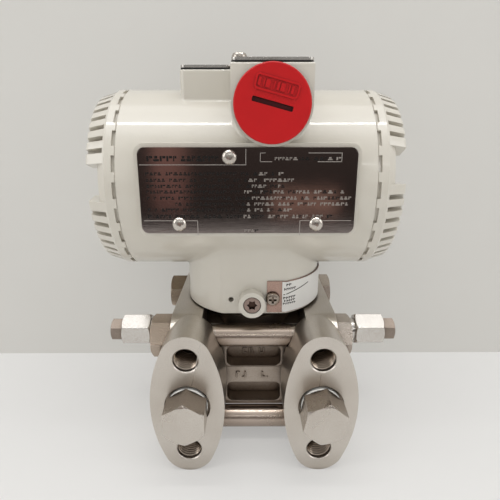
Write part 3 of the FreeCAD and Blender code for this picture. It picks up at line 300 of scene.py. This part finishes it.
lightValues = {
    "overheadTube": {"place": (0.0, -0.13, 0.85), "size": (1.2, 0.042), "power": 2.2, "aim": (0, 0.03, 0.05)},
    "lowTube": {"place": (0.1, -0.95, 0.52), "size": (0.9, 0.03), "power": 0.4, "aim": (0, 0.0, 0.05)},
    "ceilingSoft": {"place": (0.0, 0.05, 1.1), "size": (1.4, 1.2), "power": 4.6, "aim": (0, 0.05, 0.05)},
    "leftSoft": {"place": (-0.75, -0.3, 0.35), "size": (0.4, 0.5), "power": 1.3, "aim": (0, 0.03, 0.04)},
    "rightSoft": {"place": (0.75, -0.25, 0.35), "size": (0.4, 0.5), "power": 1.1, "aim": (0, 0.03, 0.04)},
}
worldValues = {"middle": 0.6, "upwards": 0.26, "backwards": 0.2, "colour": (0.96, 0.95, 0.93, 1.0)}


def makeLights(values):
    for name, light in values.items():
        data = bpy.data.lights.new(name, "AREA")
        data.shape = "RECTANGLE"
        data.size = light["size"][0]
        data.size_y = light["size"][1]
        data.energy = light["power"]
        lamp = bpy.data.objects.new(name, data)
        bpy.context.scene.collection.objects.link(lamp)
        lamp.location = light["place"]
        way = Vector(light["aim"]) - Vector(light["place"])
        lamp.rotation_euler = way.to_track_quat("-Z", "Y").to_euler()
    world = bpy.data.worlds.new("studio")
    bpy.context.scene.world = world
    world.use_nodes = True
    tree = world.node_tree
    shade = tree.nodes["Background"]
    shade.inputs["Color"].default_value = worldValues["colour"]
    # brighter overhead and behind, darker in front
    _, back, up = axes(tree, addNode(tree, "ShaderNodeTexCoord").outputs["Generated"])
    tone = level(tree, "MULTIPLY_ADD", up, worldValues["upwards"], worldValues["middle"])
    tone = level(tree, "MULTIPLY_ADD", back, worldValues["backwards"], tone)
    tree.links.new(tone, shade.inputs["Strength"])


makeLights(lightValues)
print("stage and lights ready")

# finishes

# each deep tone below is a painted shade colour for holes, thread roots, recesses or the shanks between the
# flanges
metalValues = {
    "castSteel": {
        "colour": (204, 194, 184), "dark": (162, 150, 138), "roughness": (0.34, 0.5),
        "grain": 2200.0, "depth": 0.16},
    "flangeSteel": {
        "colour": (224, 219, 212), "dark": (204, 197, 188), "roughness": (0.26, 0.4),
        "grain": 3200.0, "depth": 0.1,
        "deep": (96, 84, 74), "filmAndShade": (0.82, 0.79, 0.76, 1)},
    "boltSteel": {
        "colour": (220, 212, 203), "dark": (184, 172, 160), "roughness": (0.2, 0.32),
        "grain": 2600.0, "depth": 0.08,
        "deep": (190, 176, 164), "brush": (0.05, 1.0, 1.0)},
    "nutSteel": {
        "colour": (226, 214, 200), "dark": (188, 172, 156), "roughness": (0.14, 0.3),
        "grain": 2600.0, "depth": 0.1,
        # painted shade for the facets that look upwards
        "upwardShade": (0.8, 0.76, 0.72, 1),
        "brush": (1.0, 1.0, 0.05)},
    "plugSteel": {
        "colour": (222, 217, 210), "dark": (198, 190, 181), "roughness": (0.2, 0.32),
        "grain": 3000.0, "depth": 0.1,
        # painted shade for the facets that look upwards
        "upwardShade": (0.74, 0.7, 0.66, 1),
        "brush": (1.0, 0.04, 1.0)},
    "ventSteel": {
        "colour": (226, 224, 220), "dark": (200, 194, 188), "roughness": (0.12, 0.22),
        "grain": 2600.0, "depth": 0.12,
        "brush": (1.0, 0.05, 0.05)},
    "stemSteel": {
        "colour": (172, 160, 150), "dark": (128, 116, 106), "roughness": (0.24, 0.4),
        "grain": 2600.0, "depth": 0.08},
    "screwSteel": {
        "colour": (222, 217, 210), "dark": (184, 176, 167), "roughness": (0.16, 0.28),
        "grain": 2600.0, "depth": 0.03},
    "lockSteel": {
        "colour": (178, 160, 152), "dark": (140, 122, 114), "roughness": (0.24, 0.4),
        "grain": 2600.0, "depth": 0.08,
        "deep": (84, 68, 62)},
    "groundSteel": {
        "colour": (196, 186, 176), "dark": (150, 138, 128), "roughness": (0.2, 0.34),
        "grain": 2600.0, "depth": 0.08,
        "deep": (58, 48, 42)},
    "tagSteel": {
        "colour": (196, 168, 156), "dark": (160, 132, 122), "roughness": (0.2, 0.34),
        "grain": 2200.0, "depth": 0.03},
    "topPlateSteel": {
        "colour": (214, 212, 208), "dark": (176, 172, 166), "roughness": (0.2, 0.32),
        "grain": 2200.0, "depth": 0.02},
    "threadSteel": {
        "colour": (214, 204, 192), "dark": (170, 156, 142), "roughness": (0.16, 0.26),
        "grain": 2200.0, "depth": 0.02,
        "deep": (58, 50, 44)},
    "brass": {
        "colour": (206, 178, 112), "dark": (150, 120, 66), "roughness": (0.22, 0.36),
        "grain": 2200.0, "depth": 0.03},
}


# places that are painted darker as shade, in metres
shadeValues = {
    "holeCentre": (27.0 * mm, 20.65 * mm),
    "holeReach": 5.35 * mm,
    "holeSpan": (1.2 * mm, 16.0 * mm),
    "threadRoot": 4.72 * mm,
    "shankReach": 16.5 * mm,
    "recessDepth": 6.0 * mm,
}

# reach of the painted shade and grime, and its tone where pieces are closest
grimeAndShadeValues = {
    "corner": (0.0025, (0.35, 0.31, 0.27, 1)),
    "filmAndShade": (0.014, (0.6, 0.56, 0.53, 1)),
    "plastic": (0.0012, (0.45, 0.4, 0.38, 1)),
}


def fromHole(tree, point):
    # how far a point lies from the axis of the nearest manifold hole
    x, y, z = axes(tree, point)
    across = level(tree, "SUBTRACT", level(tree, "ABSOLUTE", x), shadeValues["holeCentre"][0])
    along = level(tree, "SUBTRACT", level(tree, "ABSOLUTE", z), shadeValues["holeCentre"][1])
    squares = [level(tree, "POWER", part, 2.0) for part in (across, along)]
    return level(tree, "SQRT", level(tree, "ADD", *squares))


def holeShade(tree, point):
    # painted shade inside the holes
    inside = within(tree, fromHole(tree, point), -1.0, shadeValues["holeReach"])
    return level(tree, "MULTIPLY", inside, within(tree, axes(tree, point)[1], *shadeValues["holeSpan"], 0.002))


def threadRootShade(tree, point):
    # painted shade in the roots of the thread, close to the hole wall
    return within(tree, fromHole(tree, point), shadeValues["threadRoot"], 1.0, 0.00015)


def shankShade(tree, point):
    # painted shade: the shanks between the flanges, where shade falls, are darker than the ends
    return within(tree, level(tree, "ABSOLUTE", axes(tree, point)[0]), -1.0, shadeValues["shankReach"])


def recessShade(node, depth):
    # the few millimetres behind the front of a piece, where its recess lies and is painted darker as shade
    def mask(tree, point):
        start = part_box(node)[0][1] + depth * mm
        return within(tree, axes(tree, point)[1], start, start + shadeValues["recessDepth"])
    return mask


shadeMasks = {
    "flangeSteel": holeShade,
    "boltSteel": shankShade,
    "threadSteel": threadRootShade,
    "lockSteel": recessShade("neck_lock_screw", 0.35),
    "groundSteel": recessShade("ground_screw", 1.2),
}


def makeMetal(name, values):
    material, tree, shader = newMaterial(name)
    point = objectPoint(tree)
    patches = noise(tree, point, 60.0, 4.0, 0.6)
    fine = noise(tree, point, values["grain"], 2.0, 0.6)
    tone = mixColour(tree, patches, srgb(*values["colour"]), srgb(*values["dark"]))
    speck = ramp(tree, fine, [(0.32, (0.8, 0.78, 0.76, 1)), (0.62, (1, 1, 1, 1))])
    tone = mixColour(tree, 1.0, tone, speck, "MULTIPLY")
    # painted shade: holes, thread roots, screw recesses and the shanks between the flanges take the darker
    # deep tone
    if name in shadeMasks:
        tone = mixColour(tree, shadeMasks[name](tree, point), tone, srgb(*values["deep"]))
    if "upwardShade" in values:
        # painted shade: the facets that look upwards are made darker
        upward = axes(tree, addNode(tree, "ShaderNodeNewGeometry", {}).outputs["Normal"])[2]
        upwardShade = ramp(tree, upward, [(0.25, (1, 1, 1, 1)), (0.6, values["upwardShade"])])
        tone = mixColour(tree, 1.0, tone, upwardShade, "MULTIPLY")
    # painted shade in tight corners, and between close pieces a brown film that is part grime, part painted
    # shade
    reach, colour = grimeAndShadeValues["corner"]
    tone = mixColour(tree, 1.0, tone, nearbyShade(tree, reach, 0.3, 0.75, colour), "MULTIPLY")
    reach, colour = grimeAndShadeValues["filmAndShade"]
    filmAndShade = nearbyShade(tree, reach, 0.25, 0.95, values.get("filmAndShade", colour))
    tone = mixColour(tree, 1.0, tone, filmAndShade, "MULTIPLY")
    tree.links.new(tone, shader.inputs["Base Color"])
    shader.inputs["Metallic"].default_value = 1.0
    low, high = values["roughness"]
    tree.links.new(spread(tree, patches, low, high), shader.inputs["Roughness"])
    brushed = noise(tree, point, 2600.0, 2.0, 0.5, values.get("brush", (1.0, 1.0, 1.0)))
    relief = mixColour(tree, 0.5, fine, brushed)
    bump(tree, shader, relief, values["depth"], 0.0004)
    return material


paintValues = {
    "colour": (208, 204, 194),
    "shade": (200, 194, 182),
    "roughness": (0.26, 0.34),
    "peel": 380.0,
    "rootRadius": 6.5 * mm,
    "rootBack": 30.0 * mm,
    "rootHeights": (50.0 * mm, 68.0 * mm),
    "rootSide": 29.0 * mm,
    "dustAndShade": (128, 114, 92),
}


def makePaint(name, values):
    material, tree, shader = newMaterial(name)
    point = objectPoint(tree)
    patches = noise(tree, point, 22.0, 4.0, 0.6)
    base = mixColour(tree, patches, srgb(*values["colour"]), srgb(*values["shade"]))
    # dust and painted shade that stay in corners and recesses, where the occlusion is strongest
    corner = addNode(tree, "ShaderNodeAmbientOcclusion", {"samples": 6, "only_local": False}, Distance=0.004)
    shadeInCorners = ramp(tree, corner.outputs["AO"], [(0.3, (1, 1, 1, 1)), (0.66, (0, 0, 0, 1))])
    smear = noise(tree, point, 160.0, 4.0, 0.7)
    smeared = ramp(tree, smear, [(0.35, (0, 0, 0, 1)), (0.75, (1, 1, 1, 1))])
    amount = mixColour(tree, 1.0, shadeInCorners, smeared, "MULTIPLY")
    half = mixColour(tree, 0.5, (0.0, 0.0, 0.0, 1.0), amount)
    coloured = mixColour(tree, half, base, srgb(*values["dustAndShade"]))
    # small dark specks
    cells = addNode(tree, "ShaderNodeTexVoronoi", Scale=55.0)
    tree.links.new(point, cells.inputs["Vector"])
    speck = ramp(tree, cells.outputs["Distance"], [(0.02, (1, 1, 1, 1)), (0.035, (0, 0, 0, 1))])
    gate = ramp(tree, noise(tree, point, 9.0, 2.0), [(0.6, (0, 0, 0, 1)), (0.66, (1, 1, 1, 1))])
    spots = mixColour(tree, 1.0, speck, gate, "MULTIPLY")
    tree.links.new(mixColour(tree, spots, coloured, srgb(96, 84, 66)), shader.inputs["Base Color"])
    low, high = values["roughness"]
    tree.links.new(spread(tree, patches, low, high), shader.inputs["Roughness"])
    shader.inputs["Coat Weight"].default_value = 0.7
    shader.inputs["Coat Roughness"].default_value = 0.045
    relief = bump(tree, shader, noise(tree, point, values["peel"], 2.0), 0.06, 0.0006)
    # the cast root of the neck runs softly into the barrel
    soft = addNode(tree, "ShaderNodeBevel", {"samples": 8}, Radius=values["rootRadius"])
    x, y, z = axes(tree, point)
    root = within(tree, y, -1.0, values["rootBack"], 0.006)
    root = level(tree, "MULTIPLY", root, within(tree, z, *values["rootHeights"], 0.003))
    sideways = level(tree, "ABSOLUTE", x)
    root = level(tree, "MULTIPLY", root, within(tree, sideways, -1.0, values["rootSide"], 0.006))
    blend = addNode(tree, "ShaderNodeMix", {"data_type": "VECTOR"})
    tree.links.new(root, blend.inputs[0])
    tree.links.new(addNode(tree, "ShaderNodeNewGeometry").outputs["Normal"], blend.inputs[4])
    tree.links.new(soft.outputs["Normal"], blend.inputs[5])
    tree.links.new(blend.outputs[1], relief.inputs["Normal"])
    return material


plasticValues = {
    "redPlastic": {
        "colour": (196, 6, 14), "dark": (180, 4, 10), "roughness": (0.36, 0.5), "grain": 700.0, "depth": 0.04,
        # the deep tone is painted shade in the slot behind the plug face
        "recess": ("front_conduit_plug", 0.9), "deep": (74, 2, 8)},
    "blackRubber": {
        "colour": (30, 30, 30), "dark": (20, 20, 20), "roughness": (0.6, 0.8), "grain": 900.0, "depth": 0.1},
    "whiteTape": {
        "colour": (236, 236, 232), "dark": (216, 214, 208), "roughness": (0.5, 0.65),
        "grain": 1500.0, "depth": 0.3},
    "whiteLabel": {
        "colour": (228, 227, 224), "dark": (214, 212, 208), "roughness": (0.35, 0.5),
        "grain": 500.0, "depth": 0.02},
    "modulePlastic": {
        "colour": (42, 44, 44), "dark": (30, 31, 31), "roughness": (0.45, 0.6),
        "grain": 800.0, "depth": 0.06},
    "etchedPrint": {
        "colour": (22, 20, 19), "dark": (14, 13, 12), "roughness": (0.3, 0.45),
        "grain": 900.0, "depth": 0.02},
    "printSheen": {
        "colour": (150, 143, 137), "dark": (112, 106, 101), "roughness": (0.4, 0.6),
        "grain": 900.0, "depth": 0.02},
    "etchedLine": {
        "colour": (178, 172, 166), "dark": (150, 144, 138), "roughness": (0.4, 0.6),
        "grain": 900.0, "depth": 0.02},
    "darkInk": {
        "colour": (58, 54, 52), "dark": (36, 34, 33), "roughness": (0.5, 0.7), "grain": 900.0, "depth": 0.02},
    "whiteGasket": {
        "colour": (232, 230, 224), "dark": (214, 210, 202), "roughness": (0.5, 0.7),
        "grain": 900.0, "depth": 0.1},
}


def makePlastic(name, values):
    material, tree, shader = newMaterial(name)
    point = objectPoint(tree)
    patches = noise(tree, point, 70.0, 4.0, 0.6)
    fine = noise(tree, point, values["grain"], 3.0, 0.6)
    tone = mixColour(tree, patches, srgb(*values["colour"]), srgb(*values["dark"]))
    # painted shade in the recess behind the front of the plug
    if "recess" in values:
        tone = mixColour(tree, recessShade(*values["recess"])(tree, point), tone, srgb(*values["deep"]))
    # painted shade in tight corners
    reach, colour = grimeAndShadeValues["plastic"]
    tone = mixColour(tree, 1.0, tone, nearbyShade(tree, reach, 0.35, 0.85, colour), "MULTIPLY")
    tree.links.new(tone, shader.inputs["Base Color"])
    shader.inputs["Specular IOR Level"].default_value = 0.35
    low, high = values["roughness"]
    tree.links.new(spread(tree, fine, low, high), shader.inputs["Roughness"])
    bump(tree, shader, fine, values["depth"], 0.0004)
    return material


def makeMirrorPlate(name):
    # polished sheet with faint long scratches and fingerprints
    material, tree, shader = newMaterial(name)
    point = objectPoint(tree)
    smudge = noise(tree, point, 45.0, 5.0, 0.65)
    lines = noise(tree, point, 120.0, 2.0, 0.5, (1.0, 1.0, 60.0))
    tone = mixColour(tree, smudge, srgb(150, 141, 138), srgb(118, 108, 104))
    tree.links.new(tone, shader.inputs["Base Color"])
    shader.inputs["Metallic"].default_value = 1.0
    tree.links.new(spread(tree, smudge, 0.03, 0.16), shader.inputs["Roughness"])
    bump(tree, shader, lines, 0.03, 0.0002)
    return material


finishes = {name: makeMetal(name, values) for name, values in metalValues.items()}
finishes.update({name: makePlastic(name, values) for name, values in plasticValues.items()})
finishes["creamPaint"] = makePaint("creamPaint", paintValues)
finishes["mirrorPlate"] = makeMirrorPlate("mirrorPlate")

nodeFinish = {
    "castSteel": ["sensor_body"],
    "flangeSteel": ["left_flange", "right_flange"],
    "boltSteel": ["flange_bolts"],
    "nutSteel": ["flange_nuts"],
    "plugSteel": ["left_process_plug", "right_process_plug"],
    "ventSteel": ["left_vent_body", "right_vent_body", "left_vent_ball", "right_vent_ball"],
    "stemSteel": ["left_vent_stem", "right_vent_stem", "sensor_neck", "left_diaphragm", "right_diaphragm"],
    "screwSteel": ["plate_rivets", "identification_screws", "module_screws"],
    "lockSteel": ["neck_lock_screw"],
    "groundSteel": ["ground_screw"],
    "tagSteel": ["tag_band"],
    "topPlateSteel": ["identification_plate", "wing_plate"],
    "brass": ["terminal_screws"],
    "redPlastic": ["front_conduit_plug", "rear_conduit_plug"],
    "blackRubber": [
        "neck_seal", "left_cover_seal", "right_cover_seal", "identification_gasket", "wing_gasket"],
    "whiteTape": ["left_plug_tape", "right_plug_tape"],
    "whiteLabel": ["tag_label"],
    "modulePlastic": ["electronics_module", "terminal_block"],
    "whiteGasket": ["left_flange_gasket", "right_flange_gasket"],
    "creamPaint": ["housing", "left_cover", "right_cover"],
    "mirrorPlate": ["certification_plate"],
}

# width of the rounded edges, in millimetres
edgeValues = {
    "housing": 0.45,
    "left_cover": 0.3,
    "right_cover": 0.3,
    "left_flange": 0.4,
    "right_flange": 0.4,
    "sensor_body": 0.8,
    "flange_bolts": 0.2,
    "flange_nuts": 0.2,
    "left_process_plug": 0.25,
    "right_process_plug": 0.25,
    "left_vent_body": 0.2,
    "right_vent_body": 0.2,
    "left_vent_stem": 0.2,
    "right_vent_stem": 0.2,
    "front_conduit_plug": 0.2,
    "rear_conduit_plug": 0.2,
    "certification_plate": 0.12,
    "identification_plate": 0.15,
    "wing_plate": 0.15,
}


def dressNode(name, finish):
    item = nodes[name]
    item.data.materials.clear()
    item.data.materials.append(finish)
    weld = item.modifiers.new("joinEdges", "WELD")
    weld.merge_threshold = 0.000002
    width = edgeValues.get(name, 0.08) * mm
    bevel = item.modifiers.new("softEdges", "BEVEL")
    bevel.width = width
    bevel.segments = 2
    bevel.limit_method = "ANGLE"
    bevel.angle_limit = math.radians(32)
    bevel.use_clamp_overlap = True
    normals = item.modifiers.new("evenShading", "WEIGHTED_NORMAL")
    normals.keep_sharp = False


for finishName, names in nodeFinish.items():
    for name in names:
        dressNode(name, finishes[finishName])
print("finishes given to", sum(len(names) for names in nodeFinish.values()), "nodes")

# pieces that the frame leaves to the looks



def makePiece(name, verts, faces, material, body, smooth=False):
    mesh = bpy.data.meshes.new(name)
    mesh.from_pydata([tuple(point) for point in verts], [], faces)
    mesh.update()
    piece = bpy.data.objects.new(name, mesh)
    bpy.context.scene.collection.objects.link(piece)
    mesh.materials.append(material)
    for face in mesh.polygons:
        face.use_smooth = smooth
    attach(piece, body)
    return piece


threadValues = {
    "places": [(-27.0, -20.65), (-27.0, 20.65), (27.0, -20.65), (27.0, 20.65)],
    "root": 5.03,
    "crest": 4.45,
    "pitch": 1.27,
    "start": 0.7,
    "turns": 10,
    "steps": 48,
}


def threadMesh(values, x, z):
    # a ridge that winds into the hole, its foot sunk a little into the wall
    verts = []
    faces = []
    steps = values["steps"]
    for index in range(values["turns"] * steps + 1):
        angle = 2 * math.pi * index / steps
        depth = values["start"] + values["pitch"] * index / steps
        for lift, radius in ((0.0, "root"), (0.42, "crest"), (0.58, "crest"), (1.0, "root")):
            reach = values[radius]
            verts.append((
                (x + reach * math.cos(angle)) * mm,
                (depth + values["pitch"] * lift) * mm,
                (z + reach * math.sin(angle)) * mm))
    for index in range(values["turns"] * steps):
        for row in range(3):
            first = 4 * index + row
            faces.append((first, first + 1, first + 5, first + 4))
    return verts, faces


def makeThreads(values):
    for index, (x, z) in enumerate(values["places"]):
        verts, faces = threadMesh(values, x, z)
        makePiece("holeThread%d" % index, verts, faces, finishes["threadSteel"], "sensor")


makeThreads(threadValues)
print("threads made")


def barBox(verts, faces, corners):
    # corners: four points of the front face and four of the back face
    first = len(verts)
    verts.extend(corners)
    for face in ((0, 1, 2, 3), (7, 6, 5, 4), (0, 4, 5, 1), (1, 5, 6, 2), (2, 6, 7, 3), (3, 7, 4, 0)):
        faces.append(tuple(first + corner for corner in face))


def flatBars(bars, front, thick):
    # bars on a face that looks to the front, each (left, low, right, high, turn) in millimetres
    verts = []
    faces = []
    for left, low, right, high, turned in bars:
        centreX = (left + right) / 2
        centreZ = (low + high) / 2
        angle = math.radians(turned)
        corners = []
        for y in (front, front + thick):
            for x, z in ((left, low), (right, low), (right, high), (left, high)):
                dx = x - centreX
                dz = z - centreZ
                corners.append((
                    (centreX + dx * math.cos(angle) - dz * math.sin(angle)) * mm,
                    y * mm,
                    (centreZ + dx * math.sin(angle) + dz * math.cos(angle)) * mm))
        barBox(verts, faces, corners)
    return verts, faces


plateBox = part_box("certification_plate")
plateFace = plateBox[0][1] / mm
plateTop = plateBox[1][2] / mm
plateLeft = plateBox[0][0] / mm

printValues = {
    "sink": 0.01,
    "rise": 0.03,
    "letter": 1.25,
    "gap": 0.32,
    # rows as (distance under the top edge, start, end, height) in millimetres
    "rows": [
        (4.0, 3.4, 30.5, 1.9), (4.0, 49.5, 72.5, 1.1),
        (9.4, 2.6, 53.0, 1.15), (11.7, 2.6, 56.0, 1.15), (13.9, 2.6, 53.5, 1.15), (16.0, 2.6, 76.0, 1.15),
        (18.3, 2.6, 78.0, 1.15), (20.5, 13.0, 78.0, 1.15), (22.7, 2.6, 55.0, 1.15), (25.2, 2.6, 70.0, 1.3),
        (30.6, 38.5, 43.5, 0.9)],
    # letters beyond this place are pale, a painted sheen of light on the same dark print
    "paleFrom": 38.0,
    # fine lines as (left, distance under the top edge of their low side, right, of their high side)
    "lines": [
        (0.6, 6.3, 39.0, 6.1), (39.0, 6.3, 39.2, 0.6), (1.0, 26.9, 21.0, 26.7), (20.9, 32.4, 21.1, 26.9),
        (59.2, 32.4, 59.4, 26.9), (59.2, 26.9, 78.5, 26.7), (44.2, 5.2, 48.6, 5.0), (44.2, 5.2, 44.4, 2.1),
        (44.2, 2.1, 46.2, 1.9), (61.6, 2.1, 73.8, 1.9), (73.6, 5.2, 73.8, 2.1), (65.0, 5.2, 73.8, 5.0)],
}


def rowBars(values):
    dark = []
    pale = []
    for down, start, end, height in values["rows"]:
        place = start
        while place < end:
            wide = values["letter"] * random.choice((0.6, 0.8, 0.8, 1.0, 1.0, 1.4)) * height / 1.15
            low = plateTop - down - height / 2
            # a letter stands as an upright bar or as two short level bars
            left = plateLeft + place
            # most letters there go to the pale print, a painted sheen
            bars = pale if place > values["paleFrom"] and random.random() < 0.7 else dark
            if random.random() < 0.5:
                bars.append((left, low, left + wide * 0.34, low + height, 0))
                bars.append((left + wide * 0.45, low + height * 0.55, left + wide, low + height, 0))
            else:
                bars.append((left, low, left + wide, low + height * 0.42, 0))
                bars.append((left + wide * 0.2, low + height * 0.52, left + wide * 0.75, low + height, 0))
            place += wide + values["gap"]
            if random.random() < 0.2:
                place += values["letter"]
    return dark, pale


def makePrint(values):
    front = plateFace - values["rise"]
    deep = values["rise"] + values["sink"]
    dark, pale = rowBars(values)
    lines = [(plateLeft + left, plateTop - low, plateLeft + right, plateTop - high, 0)
             for left, low, right, high in values["lines"]]
    # the pale rows are the dark print with a painted sheen
    for name, bars, finish in (
            ("plateRows", dark, "etchedPrint"), ("plateRowsSheen", pale, "printSheen"),
            ("plateLines", lines, "etchedLine")):
        verts, faces = flatBars(bars, front, deep)
        makePiece(name, verts, faces, finishes[finish], "housing")


makePrint(printValues)
print("plate print made")

# red plug: plain bars inside the raised frame
plugValues = {
    "centre": (6.0, 116.0),
    "tilt": -15.0,
    "rise": 5.9,
    "bars": [
        (-6.2, 0.9), (-4.6, 0.5), (-3.2, 1.6), (-1.0, 0.5), (0.4, 0.9), (2.0, 1.6), (4.2, 0.5), (5.4, 0.9)],
}


def makePlugMarks(values):
    angle = math.radians(values["tilt"])
    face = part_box("front_conduit_plug")[0][1] / mm
    bars = []
    for along, wide in values["bars"]:
        x = values["centre"][0] + along * math.cos(angle) - values["rise"] * math.sin(angle)
        z = values["centre"][1] + along * math.sin(angle) + values["rise"] * math.cos(angle)
        bars.append((x - wide / 2, z - 1.35, x + wide / 2, z + 1.35, values["tilt"]))
    verts, faces = flatBars(bars, face + 0.1, 0.35)
    makePiece("plugMarks", verts, faces, finishes["redPlastic"], "housing")


makePlugMarks(plugValues)

# label on the neck: a slanting line and rows of small marks
labelValues = {
    "radius": 31.25,
    "flat": 28.15,
    "rise": 0.03,
    # words as (start along the wrap, letters, width of a letter, low, high) in millimetres
    "words": [
        (13.6, 2, 1.1, 44.1, 45.2), (12.7, 6, 0.8, 42.2, 43.3), (12.4, 5, 1.0, 38.3, 39.4),
        (12.8, 5, 0.9, 37.0, 38.0), (12.3, 6, 0.86, 35.8, 36.7)],
    # the line as (start, end, low, high, climb)
    "line": (12.4, 26.5, 40.1, 40.5, 3.0),
}


def labelMarks(values):
    marks = [values["line"]]
    for start, count, wide, low, high in values["words"]:
        for index in range(count):
            left = start + index * wide * 1.25
            middle = low + (high - low) * random.choice((0.35, 0.45, 0.55))
            marks.append((left, left + wide * 0.4, low, high, 0.0))
            marks.append((left + wide * 0.3, left + wide, middle, middle + (high - low) * 0.4, 0.0))
    return marks


def aroundNeck(along, lift, values):
    # point on the wrapped label at a distance from its middle line
    turnStart = math.sqrt(values["radius"] ** 2 - values["flat"] ** 2)
    if along <= turnStart:
        return along, -values["flat"] - lift
    angle = math.asin(turnStart / values["radius"]) + (along - turnStart) / values["radius"]
    reach = values["radius"] + lift
    return reach * math.sin(angle), -reach * math.cos(angle)


def makeLabelMarks(values):
    verts = []
    faces = []
    for start, end, low, high, slant in labelMarks(values):
        count = max(1, int((end - start) / 1.2))
        for index in range(count):
            ends = [start + (end - start) * (index + part) / count for part in (0, 1)]
            lifts = [slant * (index + part) / count for part in (0, 1)]
            corners = []
            for depth in (values["rise"], -values["rise"]):
                spots = [aroundNeck(along, depth, values) for along in ends]
                for which, height in ((0, low), (1, low), (1, high), (0, high)):
                    x, y = spots[which]
                    corners.append((x * mm, capsuleY + y * mm, (height + lifts[which]) * mm))
            barBox(verts, faces, corners)
    makePiece("labelMarks", verts, faces, finishes["darkInk"], "housing")


makeLabelMarks(labelValues)

# raised casting marks on the front of the sensor body, as plain shapes
castingValues = {
    "pocketFace": 31.6,
    "bandFace": 23.6,
    "pocketMarks": [
        (-5.2, 6.2, -4.5, 9.2, 0), (-5.2, 6.2, -3.0, 6.9, 0), (-5.2, 8.5, -3.0, 9.2, 0),
        (-2.2, 6.2, -1.5, 9.2, 0), (-0.9, 6.2, -0.2, 9.2, 18), (2.6, 6.2, 3.3, 9.2, 0),
        (4.4, 6.2, 5.1, 9.2, 0), (2.6, 6.2, 5.1, 6.9, 0)],
    "bandMarks": [
        (-8.0, -1.6, -7.3, 1.6, 0), (-8.0, 0.9, -6.2, 1.6, 0), (-5.2, -1.6, -3.6, -0.9, 0),
        (-4.2, -1.6, -3.5, 1.6, 0), (3.6, -1.4, 4.2, 1.6, 0), (3.6, -1.4, 5.2, -0.8, 0),
        (6.0, -1.5, 6.5, -0.9, 0)],
    "rise": 0.6,
    "sink": 0.4,
}


def makeCastingMarks(values):
    for name, face in (("pocketMarks", "pocketFace"), ("bandMarks", "bandFace")):
        front = values[face] - values["rise"]
        verts, faces = flatBars(values[name], front, values["rise"] + values["sink"])
        piece = makePiece(name, verts, faces, finishes["castSteel"], "sensor")
        soft = piece.modifiers.new("softEdges", "BEVEL")
        soft.width = 0.22 * mm
        soft.segments = 2


makeCastingMarks(castingValues)

# cast frames round the two front pockets of the sensor body
frameValues = {
    "outer": 14.35,
    "inner": 12.2,
    "low": 3.7,
    "high": 14.6,
    "lip": 0.5,
    "round": 2.8,
    "front": 23.9,
    "back": 31.8,
    "steps": 6,
}


def roundedLoop(wide, low, high, radius, steps):
    loop = []
    for centreX, centreZ, start in (
            (wide - radius, high - radius, 0), (radius - wide, high - radius, 90),
            (radius - wide, low + radius, 180), (wide - radius, low + radius, 270)):
        for index in range(steps + 1):
            angle = math.radians(start + 90 * index / steps)
            loop.append((centreX + radius * math.cos(angle), centreZ + radius * math.sin(angle)))
    return loop


def makePocketFrames(values):
    verts = []
    faces = []
    for low, high in ((values["low"], values["high"]), (-values["high"], -values["low"])):
        first = len(verts)
        outer = roundedLoop(values["outer"], low, high, 0.3, values["steps"])
        lip = values["lip"]
        inner = roundedLoop(values["inner"], low + lip, high - lip, values["round"], values["steps"])
        count = len(outer)
        for loop, y in ((outer, "back"), (outer, "front"), (inner, "front"), (inner, "back")):
            verts.extend((x * mm, values[y] * mm, z * mm) for x, z in loop)
        for row in range(4):
            for index in range(count):
                after = (index + 1) % count
                here = first + row * count
                there = first + (row + 1) % 4 * count
                faces.append((here + index, here + after, there + after, there + index))
    piece = makePiece("pocketFrames", verts, faces, finishes["castSteel"], "sensor", True)
    soft = piece.modifiers.new("softEdges", "BEVEL")
    soft.width = 0.6 * mm
    soft.segments = 3
    soft.limit_method = "ANGLE"


makePocketFrames(frameValues)

# lines scribed on the flange faces, as (x, z) of one end, then of the other
scribeValues = {
    "lines": [((-20.9, 27.7), (-24.9, 9.6)), ((26.3, 14.6), (25.9, 9.2))],
    "width": 0.16,
    "rise": 0.03,
}


def makeScribedLines(values):
    bars = []
    for (startX, startZ), (endX, endZ) in values["lines"]:
        long = math.hypot(endX - startX, endZ - startZ)
        centreX = (startX + endX) / 2
        centreZ = (startZ + endZ) / 2
        turned = math.degrees(math.atan2(endZ - startZ, endX - startX))
        half = values["width"] / 2
        bars.append((centreX - long / 2, centreZ - half, centreX + long / 2, centreZ + half, turned))
    verts, faces = flatBars(bars, -values["rise"], 2 * values["rise"])
    makePiece("scribedLines", verts, faces, finishes["ventSteel"], "sensor")


makeScribedLines(scribeValues)
print("marks made")
